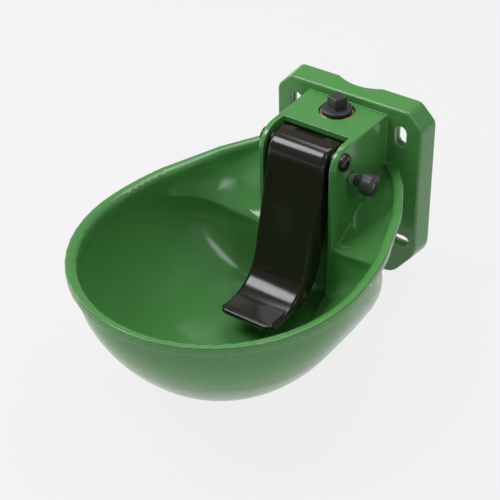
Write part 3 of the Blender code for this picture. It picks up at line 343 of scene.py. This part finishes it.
# %% Shared effect: edge wear
def build_wear_group():
    """Mask of light rubbing on edges, broken up by noise."""
    tree, given, result = new_group(
        "edge_wear",
        [("Vector", "NodeSocketVector", None), ("Amount", "NodeSocketFloat", 0.3),
         ("Scale", "NodeSocketFloat", 120.0)],
        ["Mask"])
    shape = node(tree, "ShaderNodeNewGeometry")
    ramp = node(tree, "ShaderNodeMapRange", {"From Min": 0.52, "From Max": 0.62})
    noise = node(tree, "ShaderNodeTexNoise", {"Detail": 4.0})
    broken = maths(tree, "MULTIPLY", ramp.outputs["Result"], noise.outputs["Fac"])
    link_all(tree, (shape.outputs["Pointiness"], ramp.inputs["Value"]),
             (given.outputs["Vector"], noise.inputs["Vector"]),
             (given.outputs["Scale"], noise.inputs["Scale"]),
             (maths(tree, "MULTIPLY", broken, given.outputs["Amount"]), result.inputs["Mask"]))
    return tree


edge_wear = build_wear_group()
print("group", edge_wear.name, "has", len(edge_wear.nodes), "nodes")

# %% [markdown]
# In the photograph a thin pale line of light runs along each edge of the moulding. Here it is a
# painted highlight: a paler colour mixed into the surface. A Bevel node gives the normal that a
# rounded edge would have: where it differs from the real one, the painted highlight is drawn.

# %% Shared effect: painted edge highlight
bevel_samples = 6


def build_painted_highlight_group():
    """Mask of the painted highlight along the edge where two faces of a moulding meet."""
    tree, given, result = new_group(
        "painted_edge_highlight",
        [("Width", "NodeSocketFloat", 0.0009), ("Amount", "NodeSocketFloat", 0.4)],
        ["Mask"])
    flat = node(tree, "ShaderNodeNewGeometry")
    rounded = node(tree, "ShaderNodeBevel", samples=bevel_samples)
    likeness = node(tree, "ShaderNodeVectorMath", operation="DOT_PRODUCT")
    ramp = node(tree, "ShaderNodeMapRange", {"From Min": 0.985, "From Max": 0.86})
    link_all(tree, (given.outputs["Width"], rounded.inputs["Radius"]),
             (flat.outputs["Normal"], likeness.inputs[0]),
             (rounded.outputs["Normal"], likeness.inputs[1]),
             (likeness.outputs["Value"], ramp.inputs["Value"]),
             (maths(tree, "MULTIPLY", ramp.outputs["Result"], given.outputs["Amount"]),
              result.inputs["Mask"]))
    return tree


painted_edge_highlight = build_painted_highlight_group()
print("group", painted_edge_highlight.name, "has", len(painted_edge_highlight.nodes), "nodes")

# %% [markdown]
# ## Base coat
# Plastic and metal start the same way here: two close tones that drift into each other, the
# cloudy gloss of the moulded surface, and paler worn edges. One function builds that base, and
# each kind of finish then adds its own layers.

# %% Base coat
def lifted(colour, times, more):
    """A paler version of a colour, with its alpha."""
    return (*(min(1.0, part * times + more) for part in colour), 1.0)


def base_coat(name, tones, roughness, cloudiness, grain, wear, lift):
    """A material with the layers that every finish shares, and what to build on."""
    made = bpy.data.materials.new(name)
    made.use_nodes = True
    made.diffuse_color = (*tones[0], 1.0)
    tree = made.node_tree
    shader = tree.nodes["Principled BSDF"]
    place = node(tree, "ShaderNodeTexCoord").outputs["Object"]
    skin = node(tree, "ShaderNodeGroup", node_tree=moulded_surface)
    for label, value in (("Roughness", roughness), ("Cloudiness", cloudiness),
                         ("Grain scale", grain[0]), ("Grain depth", grain[1])):
        skin.inputs[label].default_value = value
    worn = node(tree, "ShaderNodeGroup", node_tree=edge_wear)
    worn.inputs["Amount"].default_value = wear
    tint = node(tree, "ShaderNodeMix", data_type="RGBA")
    tint.inputs["A"].default_value = (*tones[0], 1.0)
    tint.inputs["B"].default_value = (*tones[1], 1.0)
    pale = node(tree, "ShaderNodeMix", data_type="RGBA")
    pale.inputs["B"].default_value = lifted(tones[0], *lift)
    link_all(tree, (place, skin.inputs["Vector"]), (place, worn.inputs["Vector"]),
             (skin.outputs["Roughness"], shader.inputs["Roughness"]),
             (skin.outputs["Mask"], tint.inputs["Factor"]),
             (tint.outputs["Result"], pale.inputs["A"]),
             (worn.outputs["Mask"], pale.inputs["Factor"]))
    return made, place, skin, pale.outputs["Result"]


print("base coat:", base_coat.__name__)

# %% [markdown]
# ## Plastic
# The bowl is coloured polyethylene or polypropylene, with a soft gloss and a slightly cloudy
# sheen. The tongue and the screw parts are dark plastic. One function makes them all, because
# only their colours and gloss differ. The large mouldings also get softened edges: the Bevel node
# bends the light there without any more faces, and a paler colour is mixed in along each edge as
# a painted highlight.

# %% Plastic finishes
# The second lift, the width share and the amount set the painted highlight along moulded edges.
worn_plastic_lift, highlight_lift = (1.6, 0.05), (1.5, 0.16)
highlight_width_share, highlight_amount = 1.5, 0.9
plastic_relief = 0.0002


def plastic(name, tones, roughness, cloudiness, bump, grain=(900.0, 0.2), wear=0.0, soft=0.0):
    """Moulded plastic with cloudy gloss, grain, edge wear and, if soft, a painted edge highlight.
    """
    made, _, skin, colour = base_coat(name, tones, roughness, cloudiness, grain, wear,
                                      worn_plastic_lift)
    tree = made.node_tree
    shader = tree.nodes["Principled BSDF"]
    relief = node(tree, "ShaderNodeBump", {"Strength": bump, "Distance": plastic_relief})
    # With soft, a painted highlight is mixed into the colour along each edge.
    if soft > 0.0:
        highlight_node = node(tree, "ShaderNodeGroup", node_tree=painted_edge_highlight)
        highlight_node.inputs["Width"].default_value = soft * highlight_width_share
        highlight_node.inputs["Amount"].default_value = highlight_amount
        highlight_mix = node(tree, "ShaderNodeMix", data_type="RGBA")
        highlight_mix.inputs["B"].default_value = lifted(tones[0], *highlight_lift)
        rounded = node(tree, "ShaderNodeBevel", {"Radius": soft}, samples=bevel_samples)
        link_all(tree, (colour, highlight_mix.inputs["A"]),
                 (highlight_node.outputs["Mask"], highlight_mix.inputs["Factor"]),
                 (rounded.outputs["Normal"], relief.inputs["Normal"]))
        colour = highlight_mix.outputs["Result"]
    link_all(tree, (colour, shader.inputs["Base Color"]),
             (skin.outputs["Height"], relief.inputs["Height"]),
             (relief.outputs["Normal"], shader.inputs["Normal"]))
    return made


# The bowl and the tongue get the painted edge highlight through soft.
bowl_plastic = plastic("bowl_plastic", ((0.078, 0.262, 0.066), (0.088, 0.285, 0.074)),
                       roughness=0.17, cloudiness=0.06, bump=0.04, wear=0.15, soft=0.0009)
tongue_plastic = plastic("tongue_plastic", ((0.0135, 0.0095, 0.0065), (0.0165, 0.0120, 0.0085)),
                         roughness=0.17, cloudiness=0.08, bump=0.06, wear=0.1,
                         grain=(1800.0, 0.5), soft=0.0006)
plug_plastic = plastic("plug_plastic", ((0.030, 0.030, 0.032), (0.040, 0.039, 0.042)),
                       roughness=0.42, cloudiness=0.12, bump=0.18, wear=0.3)
knob_plastic = plastic("knob_plastic", ((0.034, 0.034, 0.037), (0.046, 0.045, 0.050)),
                       roughness=0.40, cloudiness=0.12, bump=0.18, wear=0.3)
seal_rubber = plastic("seal_rubber", ((0.018, 0.018, 0.018), (0.026, 0.026, 0.026)),
                      roughness=0.70, cloudiness=0.15, bump=0.35, grain=(1500.0, 0.5))
seat_plastic = plastic("seat_plastic", ((0.72, 0.72, 0.68), (0.78, 0.78, 0.73)),
                       roughness=0.40, cloudiness=0.10, bump=0.10)
print("plastics:", [m.name for m in bpy.data.materials if "plastic" in m.name])

# %% [markdown]
# ## Metal
# Turned brass and plated steel reflect the whole room, so what sells them is how the reflection
# breaks up: fine turning rings, a little unevenness and dull spots. The rings come from a wave
# pattern along the axis the piece was turned on.

# %% Metal finishes
metal_grain = (1400.0, 0.2)
ring_scale, ring_depth = 420.0, 0.35
worn_metal_lift, metal_relief = (1.35, 0.04), 0.0001


def metal(name, tones, roughness, cloudiness, bump, rings=None, wear=0.2):
    """A metal with turning marks across one axis and a cloudy gloss."""
    made, place, skin, colour = base_coat(name, tones, roughness, cloudiness, metal_grain, wear,
                                          worn_metal_lift)
    tree = made.node_tree
    shader = tree.nodes["Principled BSDF"]
    shader.inputs["Metallic"].default_value = 1.0
    height = skin.outputs["Height"]
    if rings is not None:
        marks = node(tree, "ShaderNodeTexWave", {"Scale": ring_scale, "Distortion": 0.6},
                     wave_type="BANDS", bands_direction=rings)
        tree.links.new(place, marks.inputs["Vector"])
        rings_height = maths(tree, "MULTIPLY", marks.outputs["Fac"], ring_depth)
        height = maths(tree, "ADD", height, rings_height)
    relief = node(tree, "ShaderNodeBump", {"Strength": bump, "Distance": metal_relief})
    link_all(tree, (colour, shader.inputs["Base Color"]), (height, relief.inputs["Height"]),
             (relief.outputs["Normal"], shader.inputs["Normal"]))
    return made


print("metal finish:", metal.__name__)

# %% [markdown]
# The tee is plain cast brass, with rings round its upright axis. The nozzle and the valve's screws
# are a little browner and were turned along the plunger's axis.

# %% Brass
tee_brass = metal("tee_brass", ((0.90, 0.66, 0.32), (0.80, 0.56, 0.25)),
                  roughness=0.38, cloudiness=0.15, bump=0.25, rings="Z")
nozzle_brass = metal("nozzle_brass", ((0.70, 0.48, 0.20), (0.60, 0.40, 0.16)),
                     roughness=0.30, cloudiness=0.15, bump=0.25, rings="Y")
print("brass:", tee_brass.name, nozzle_brass.name)

# %% [markdown]
# The pins and the spindle are bright steel, the pivot's sleeve is dull, and the lock nut is zinc
# plated. The bolt's head and its nut are black, so they get a dark metal of their own.

# %% Steel and zinc
pin_steel = metal("pin_steel", ((0.60, 0.60, 0.58), (0.50, 0.50, 0.49)),
                  roughness=0.28, cloudiness=0.12, bump=0.20, rings="Y")
shaft_steel = metal("shaft_steel", ((0.60, 0.60, 0.58), (0.52, 0.52, 0.50)),
                    roughness=0.26, cloudiness=0.12, bump=0.20, rings="X")
dull_steel = metal("dull_steel", ((0.085, 0.082, 0.076), (0.060, 0.058, 0.054)),
                   roughness=0.45, cloudiness=0.10, bump=0.20, rings="X")
nut_zinc = metal("nut_zinc", ((0.66, 0.67, 0.62), (0.56, 0.58, 0.54)),
                 roughness=0.30, cloudiness=0.20, bump=0.20)
bolt_black = metal("bolt_black", ((0.055, 0.045, 0.038), (0.075, 0.062, 0.052)),
                   roughness=0.30, cloudiness=0.15, bump=0.20)
print("steel:", pin_steel.name, shaft_steel.name, dull_steel.name, nut_zinc.name, bolt_black.name)

# %% [markdown]
# ## Round walls
# A round wall of flat facets shows its corners wherever it stands against the background. The
# next cells split such edges and push the new points out to where the round wall would be. On a
# smooth edge the surface normals at its two ends tell how far; on a sharp edge the directions of
# its neighbours do. A flat face has equal normals everywhere, so it stays as it is.

# %% How far an edge bulges
widest_turn = math.radians(60.0)


def smooth_bulge(edge, normals):
    """How far the middle of a smooth edge lies from the chord, from the normals at its ends."""
    middle = (edge.verts[0].co + edge.verts[1].co) / 2.0
    bulge = Vector()
    for vert in edge.verts:
        normal = normals[edge.link_faces[0].index, vert.index]
        bulge -= (middle - vert.co).dot(normal) * normal / 4.0
    return bulge


def sharp_bulge(edge, sharp):
    """The same for a sharp edge, from the sharp edges that carry on from it."""
    start, end = edge.verts
    along = (end.co - start.co).normalized()
    tangents = []
    for vert in (start, end):
        others = [e for e in vert.link_edges if e in sharp and e is not edge]
        tangent = along
        if len(others) == 1:
            onward = others[0].other_vert(vert).co - vert.co
            onward = -onward if vert is start else onward
            if onward.length > 0.0 and onward.angle(along) < widest_turn:
                tangent = (onward.normalized() + along).normalized()
        tangents.append(tangent)
    return edge.calc_length() * (tangents[0] - tangents[1]) / 8.0


print("widest turn of a sharp edge:", round(math.degrees(widest_turn), 2))

# %% [markdown]
# Only the rim and the shoulders are seen against the background, and the wall plate has to stay
# flat. So edges below the rim, very long edges and the plate's upper edges are left out. An edge
# that runs round the bowl may bulge by a larger share of its length than a short one or one that
# climbs the wall.

# %% Which edges are rounded
rim_lowest = 0.018
plate_front, rear_rim_highest, wall_margin = -0.0235, 0.045, -0.005
longest_edge, least_bulge = 0.040, 0.0000002
flattest_turn = math.radians(0.06)
steepest_rise, shortest_run = 0.5, 0.006
round_share, climbing_share = 0.12, 0.015


def in_rim_area(edge):
    """True for an edge of the rim or the shoulders, but not for the plate's upper edges."""
    heights = [vert.co.z for vert in edge.verts]
    furthest = max(vert.co.y for vert in edge.verts)
    if min(heights) < rim_lowest or edge.calc_length() > longest_edge:
        return False
    rear_rim = max(heights) <= rear_rim_highest and furthest <= wall_margin
    return furthest <= plate_front or rear_rim


def bulge_of(edge, sharp, normals):
    """The bulge of one edge, or nothing where the shape is flat or turns too far."""
    if edge in sharp:
        return sharp_bulge(edge, sharp)
    if edge.calc_face_angle() <= flattest_turn:
        return Vector()
    bulge = smooth_bulge(edge, normals)
    rise = abs(edge.verts[1].co.z - edge.verts[0].co.z) / edge.calc_length()
    runs_round = rise < steepest_rise and edge.calc_length() > shortest_run
    most = round_share if runs_round else climbing_share
    return bulge if bulge.length <= most * edge.calc_length() else Vector()


print("edges are rounded above z =", rim_lowest)

# %% [markdown]
# Blender splits the chosen edges and fills the faces between them with new points. A search tree
# finds which new point is the middle of which edge. The few points inside a face belong to no
# edge, so each moves by half the sum of its neighbours' moves, as a patch bent both ways does.

# %% Round off the facets
same_place = 0.000001


def corner_normals(mesh):
    """The shading normal of each face at each of its corners."""
    return {(face.index, mesh.loops[loop].vertex_index): mesh.corner_normals[loop].vector.copy()
            for face in mesh.polygons for loop in face.loop_indices}


def split_and_move(work, bulges):
    """Splits the edges that bulge and moves the new points out."""
    edges, amounts = list(bulges), list(bulges.values())
    near = KDTree(len(edges))
    for row, edge in enumerate(edges):
        near.insert((edge.verts[0].co + edge.verts[1].co) / 2.0, row)
    near.balance()
    old = set(work.verts)
    bmesh.ops.subdivide_edges(work, edges=edges, cuts=1, use_grid_fill=True)
    moves, inner = {}, []
    for vert in (v for v in work.verts if v not in old):
        _, row, apart = near.find(vert.co)
        if apart < same_place:
            moves[vert] = amounts[row]
        else:
            inner.append(vert)
    centre_moves = {v: sum((moves[n] for n in (e.other_vert(v) for e in v.link_edges)
                            if n in moves), Vector()) / 2.0 for v in inner}
    for vert, move in (moves | centre_moves).items():
        vert.co += move


def rounded_facets(mesh, angle):
    """Splits the edges of round walls once and moves the new points onto the round shape."""
    mesh.set_sharp_from_angle(angle=angle)
    normals = corner_normals(mesh)
    work = bmesh.new()
    work.from_mesh(mesh)
    sharp = {edge for edge in work.edges if not edge.smooth}
    round_edges = (e for e in work.edges if len(e.link_faces) == 2 and in_rim_area(e))
    bulges = {edge: bulge_of(edge, sharp, normals) for edge in round_edges}
    bulges = {edge: bulge for edge, bulge in bulges.items() if bulge.length > least_bulge}
    split_and_move(work, bulges)
    work.to_mesh(mesh)
    work.free()


print("rounding:", rounded_facets.__name__)

# %% [markdown]
# ## Solid pieces
# The CAD solids have the right shape, but hard edges catch no light. A copy of each solid is
# merged, its flat faces are joined again, and a narrow bevel rounds its edges by a few tenths of
# a millimetre, as a mould or a deburring tool leaves them. Weighted normals keep the large faces
# flat in the light.

# %% Copy, merge and soften
merge_distance = 0.000002
bevel_segments = 2


def merged_copy(node_name, flat):
    """A copy of a CAD solid with its points merged and its flat faces joined."""
    work = bmesh.new()
    work.from_mesh(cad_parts[node_name].data)
    bmesh.ops.remove_doubles(work, verts=work.verts, dist=merge_distance)
    bmesh.ops.dissolve_limit(work, angle_limit=math.radians(flat), use_dissolve_boundaries=False,
                             verts=work.verts, edges=work.edges)
    mesh = bpy.data.meshes.new(node_name + "_finished")
    work.to_mesh(mesh)
    work.free()
    mesh.materials.clear()
    mesh.shade_smooth()
    return mesh


def dressed(node_name, finish, body, edge, angle=32.0, flat=0.4, rounds=0):
    """A finished copy of a CAD solid that stands for it."""
    sharp_angle = math.radians(angle)
    mesh = merged_copy(node_name, flat)
    mesh.materials.append(finish)
    for _ in range(rounds):
        rounded_facets(mesh, sharp_angle)
    mesh.set_sharp_from_angle(angle=sharp_angle)
    made = bpy.data.objects.new(node_name + "_finished", mesh)
    scene.collection.objects.link(made)
    if edge > 0.0:
        bevel = made.modifiers.new("soft_edge", "BEVEL")
        bevel.width = edge
        bevel.segments = bevel_segments
        bevel.limit_method = "ANGLE"
        bevel.angle_limit = sharp_angle
    flat_faces = made.modifiers.new("flat_faces", "WEIGHTED_NORMAL")
    flat_faces.mode = "FACE_AREA"
    flat_faces.keep_sharp = True
    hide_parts(node_name)
    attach(made, body)
    return made


print("dressing:", merged_copy.__name__, dressed.__name__)

# %% [markdown]
# Each small piece needs only its finish, the body it rides on and the width of its bevel, so a
# table holds them. The two thin sealing rings get no bevel.

# %% Small pieces
small_pieces = [
    ("blanking_plug", plug_plastic, "bowl", 0.0003),
    ("plug_gasket", seal_rubber, "bowl", 0.0002),
    ("valve_tee", tee_brass, "bowl", 0.0002),
    ("nozzle_body", nozzle_brass, "bowl", 0.0002),
    ("nozzle_gasket", seal_rubber, "bowl", 0.0002),
    ("valve_seat", seat_plastic, "bowl", 0.0001),
    ("gland_screw", nozzle_brass, "bowl", 0.0002),
    ("gland_ring", seal_rubber, "bowl", 0.0),
    ("plunger", pin_steel, "plunger", 0.0001),
    ("valve_seal", seal_rubber, "plunger", 0.0001),
    ("spring_clip", pin_steel, "plunger", 0.0001),
    ("pivot_sleeve", dull_steel, "bowl", 0.0002),
    ("pivot_bolt", bolt_black, "bowl", 0.0002),
    ("pivot_nut", bolt_black, "bowl", 0.0002),
    ("regulator_insert", nozzle_brass, "bowl", 0.0001),
    ("regulator_lock_nut", nut_zinc, "bowl", 0.0002),
    ("regulator_spindle", shaft_steel, "regulator_spindle", 0.0001),
    ("regulator_knob", knob_plastic, "regulator_knob", 0.0003),
    ("spindle_ring", seal_rubber, "bowl", 0.0),
]
for node_name, finish, body, edge in small_pieces:
    dressed(node_name, finish, body, edge)
print("small pieces:", len(small_pieces))

# %% [markdown]
# The tongue and the bowl are large curved mouldings. Their solids already have rounded edges, so
# they get no bevel, and their sharp edges start at a wider angle. The bowl's rim is rounded twice,
# because it is the longest round edge in view.

# %% Tongue and bowl
moulding_angle, moulding_flat = 38.0, 0.05
tongue = dressed("tongue", tongue_plastic, "tongue", 0.0, angle=moulding_angle, flat=moulding_flat)
bowl = dressed("bowl_body", bowl_plastic, "bowl", 0.0, angle=moulding_angle, flat=moulding_flat,
               rounds=2)
print("bowl faces:", len(bowl.data.polygons), "tongue faces:", len(tongue.data.polygons))

# %% [markdown]
# ## Shapes that follow a rule
# Springs, threads and collars are all one small outline swept along a path, so Geometry Nodes
# make them. Two helpers are shared by their trees: one makes a tree with named inputs, and one
# closes it by placing the swept mesh, making it real and giving it its finish.

# %% Tree helpers
def new_shape_tree(name, sizes):
    """An empty Geometry Nodes tree with named sizes, a turn, a start and a finish."""
    tree = bpy.data.node_groups.new(name, "GeometryNodeTree")
    kinds = [(label, "NodeSocketFloat") for label in sizes]
    kinds += [("Rotation", "NodeSocketVector"), ("Start", "NodeSocketVector"),
              ("Finish", "NodeSocketMaterial")]
    for label, kind in kinds:
        tree.interface.new_socket(label, in_out="INPUT", socket_type=kind)
    tree.interface.new_socket("Geometry", in_out="OUTPUT", socket_type="NodeSocketGeometry")
    return tree, tree.nodes.new("NodeGroupInput")


def close_shape_tree(tree, given, swept):
    """Turns and places the swept mesh, makes it real and gives it its finish."""
    place = node(tree, "GeometryNodeTransform")
    whole = node(tree, "GeometryNodeRealizeInstances")
    coat = node(tree, "GeometryNodeSetMaterial")
    result = node(tree, "NodeGroupOutput")
    link_all(tree, (swept, place.inputs["Geometry"]),
             (given.outputs["Rotation"], place.inputs["Rotation"]),
             (given.outputs["Start"], place.inputs["Translation"]),
             (place.outputs["Geometry"], whole.inputs["Geometry"]),
             (whole.outputs["Geometry"], coat.inputs["Geometry"]),
             (given.outputs["Finish"], coat.inputs["Material"]),
             (coat.outputs["Geometry"], result.inputs["Geometry"]))


print("tree helpers:", new_shape_tree.__name__, close_shape_tree.__name__)

# %% [markdown]
# A tree works as a modifier on an empty carrier. Its result is turned into a plain mesh and the
# carrier is removed, so that the finished piece depends on nothing.

# %% Grow a piece
def grown(name, tree, body, **values):
    """A tree's result with its inputs set by name, as a plain mesh that rides on a body."""
    carrier = bpy.data.objects.new(name + "_tree", bpy.data.meshes.new(name + "_tree"))
    scene.collection.objects.link(carrier)
    modifier = carrier.modifiers.new("tree", "NODES")
    modifier.node_group = tree
    sockets = {item.name: item.identifier for item in tree.interface.items_tree
               if item.in_out == "INPUT"}
    for label, value in values.items():
        modifier[sockets[label.replace("_", " ").capitalize()]] = value
    carrier.update_tag()
    evaluated = carrier.evaluated_get(bpy.context.evaluated_depsgraph_get())
    mesh = bpy.data.meshes.new_from_object(evaluated)
    bpy.data.objects.remove(carrier)
    mesh.shade_smooth()
    made = bpy.data.objects.new(name, mesh)
    scene.collection.objects.link(made)
    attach(made, body)
    return made


print("piece helper:", grown.__name__)

# %% [markdown]
# ## Coils and threads
# A spring and a screw thread follow the same rule: a small round section swept along a helix. One
# tree makes both. Its inputs are the helix's turns, radius and length and the wire's radius.

# %% Coil tree
points_per_turn, points_round_wire = 40, 10


def build_coil_tree():
    """Geometry Nodes tree: a wire swept along a helix."""
    tree, given = new_shape_tree("coil", ["Turns", "Radius", "Length", "Wire radius"])
    helix = node(tree, "GeometryNodeCurveSpiral", {"Resolution": points_per_turn})
    section = node(tree, "GeometryNodeCurvePrimitiveCircle", {"Resolution": points_round_wire})
    sweep = node(tree, "GeometryNodeCurveToMesh", {"Fill Caps": True})
    link_all(tree, (given.outputs["Turns"], helix.inputs["Rotations"]),
             (given.outputs["Radius"], helix.inputs["Start Radius"]),
             (given.outputs["Radius"], helix.inputs["End Radius"]),
             (given.outputs["Length"], helix.inputs["Height"]),
             (given.outputs["Wire radius"], section.inputs["Radius"]),
             (helix.outputs["Curve"], sweep.inputs["Curve"]),
             (section.outputs["Curve"], sweep.inputs["Profile Curve"]))
    close_shape_tree(tree, given, sweep.outputs["Mesh"])
    return tree


coil_tree = build_coil_tree()
print("coil tree has", len(coil_tree.nodes), "nodes")

# %% [markdown]
# The return spring sits round the plunger, along Y, and fills the length that its CAD solid has.
# The real spring gets shorter towards its fixed end at the nozzle when the tongue is pushed; here
# it is made at its full length.

# %% Return spring
spring_axis_z = 0.046
spring_wire, spring_turns = 0.0005, 4.0
spring_low, spring_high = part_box("return_spring")
spring = grown("return_spring_finished", coil_tree, "bowl", turns=spring_turns,
               radius=spring_high.x - spring_wire,
               length=spring_high.y - spring_low.y - 2.0 * spring_wire, wire_radius=spring_wire,
               rotation=(math.radians(-90.0), 0.0, 0.0),
               start=(0.0, spring_low.y + spring_wire, spring_axis_z), finish=pin_steel)
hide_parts("return_spring")
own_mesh(spring)
print("spring faces:", len(spring.data.polygons))

# %% [markdown]
# Two threads show: the pipe thread in the tee's open lower end, and the fine thread on the
# regulator's spindle between the nut and the knob. Both are ridges laid on the plain CAD walls.
# The spindle lies at the same height as the spring.

# %% Threads
inlet_y = -0.0395
inlet_radius, inlet_ridge = 0.01042, 0.0004
inlet_turns, pipe_pitch, inlet_lead_in = 6.0, 0.00181, 0.0016
inlet_thread = grown("inlet_thread", coil_tree, "bowl", turns=inlet_turns, radius=inlet_radius,
                     length=inlet_turns * pipe_pitch, wire_radius=inlet_ridge,
                     rotation=(0.0, 0.0, 0.0), finish=tee_brass,
                     start=(0.0, inlet_y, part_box("valve_tee")[0].z + inlet_lead_in))

spindle_axis_y = -0.0795
spindle_radius, spindle_ridge = 0.00276, 0.00033
spindle_turns, spindle_length, spindle_start = 14.0, 0.0140, 0.0370
spindle_thread = grown("spindle_thread", coil_tree, "regulator_spindle", turns=spindle_turns,
                       radius=spindle_radius, length=spindle_length, wire_radius=spindle_ridge,
                       rotation=(0.0, math.radians(90.0), 0.0), finish=shaft_steel,
                       start=(spindle_start, spindle_axis_y, spring_axis_z))
print("threads:", inlet_thread.name, spindle_thread.name)

# %% [markdown]
# ## Slot sleeves
# In the photograph the slots look deeper than the wall plate is thick, so the moulding is taken
# to have a collar behind each, which also carries the screw's pressure. All four follow one rule:
# a flat wall swept round the slot's outline. A second tree sweeps it, with the slot's width and
# height as inputs.

# %% Sleeve tree
corner_points = 8


def build_sleeve_tree():
    """Geometry Nodes tree: a flat wall swept round a round-ended slot."""
    tree, given = new_shape_tree("slot_sleeve", ["Width", "Height", "Corner", "Wall", "Depth"])
    outline = node(tree, "GeometryNodeCurvePrimitiveQuadrilateral")
    ends = node(tree, "GeometryNodeFilletCurve", mode="POLY")
    ends.inputs["Count"].default_value = corner_points
    ends.inputs["Limit Radius"].default_value = True
    section = node(tree, "GeometryNodeCurvePrimitiveQuadrilateral")
    sweep = node(tree, "GeometryNodeCurveToMesh")
    link_all(tree, (given.outputs["Width"], outline.inputs["Width"]),
             (given.outputs["Height"], outline.inputs["Height"]),
             (outline.outputs["Curve"], ends.inputs["Curve"]),
             (given.outputs["Corner"], ends.inputs["Radius"]),
             (given.outputs["Wall"], section.inputs["Width"]),
             (given.outputs["Depth"], section.inputs["Height"]),
             (ends.outputs["Curve"], sweep.inputs["Curve"]),
             (section.outputs["Curve"], sweep.inputs["Profile Curve"]))
    close_shape_tree(tree, given, sweep.outputs["Mesh"])
    return tree


sleeve_tree = build_sleeve_tree()
print("sleeve tree has", len(sleeve_tree.nodes), "nodes")

# %% [markdown]
# The upper slots stand upright and the lower ones lie level. Each pair is mirrored about the
# middle of the plate, so two places and two turned sizes are enough for all four.

# %% Four sleeves
slot_width, slot_length = 0.0118, 0.0212
sleeve_wall = 0.0016
sleeve_front, sleeve_back = -0.0176, -0.0118
corner_share = 0.498
upper_slot, lower_slot = (0.0552, 0.063), (0.0590, -0.047)
narrow, wide = slot_width + sleeve_wall, slot_length + sleeve_wall
for level_name, (slot_x, slot_z), size in (("upper", upper_slot, (narrow, wide)),
                                           ("lower", lower_slot, (wide, narrow))):
    for hand, side in (("right", 1.0), ("left", -1.0)):
        sleeve = grown("slot_sleeve_" + level_name + "_" + hand, sleeve_tree, "bowl",
                       width=size[0], height=size[1], corner=narrow * corner_share,
                       wall=sleeve_wall, depth=sleeve_back - sleeve_front,
                       rotation=(math.radians(90.0), 0.0, 0.0), finish=bowl_plastic,
                       start=(side * slot_x, (sleeve_front + sleeve_back) / 2.0, slot_z))
        print("made", sleeve.name)

# %% [markdown]
# ## Spindle end
# The end of the spindle shows in the knob's recess as a pale ring round a small dark centre hole.
# Two circles are bridged into a flat ring, which is then given a little height.

# %% Spindle end mark
mark_outer, mark_inner, mark_height = 0.0026, 0.0013, 0.00035
mark_sink, mark_segments = 0.00005, 32
mark_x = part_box("regulator_spindle")[1].x - mark_sink


def make_end_mark():
    """A thin flat ring on the spindle's end."""
    shape = bmesh.new()
    for radius in (mark_outer, mark_inner):
        bmesh.ops.create_circle(shape, cap_ends=False, radius=radius, segments=mark_segments)
    bmesh.ops.bridge_loops(shape, edges=list(shape.edges))
    raised = bmesh.ops.extrude_face_region(shape, geom=list(shape.faces))
    for vert in (part for part in raised["geom"] if isinstance(part, bmesh.types.BMVert)):
        vert.co.z += mark_height
    bmesh.ops.recalc_face_normals(shape, faces=list(shape.faces))
    onto_spindle = Matrix.Translation((mark_x, spindle_axis_y, spring_axis_z))
    facing = Matrix.Rotation(math.radians(90.0), 4, "Y")
    bmesh.ops.transform(shape, matrix=onto_spindle @ facing, verts=list(shape.verts))
    mesh = bpy.data.meshes.new("spindle_end_mark")
    shape.to_mesh(mesh)
    shape.free()
    mesh.materials.append(nut_zinc)
    made = bpy.data.objects.new("spindle_end_mark", mesh)
    scene.collection.objects.link(made)
    return made


mark = make_end_mark()
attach(mark, "regulator_spindle")
print("end mark at x =", round(mark_x, 5))
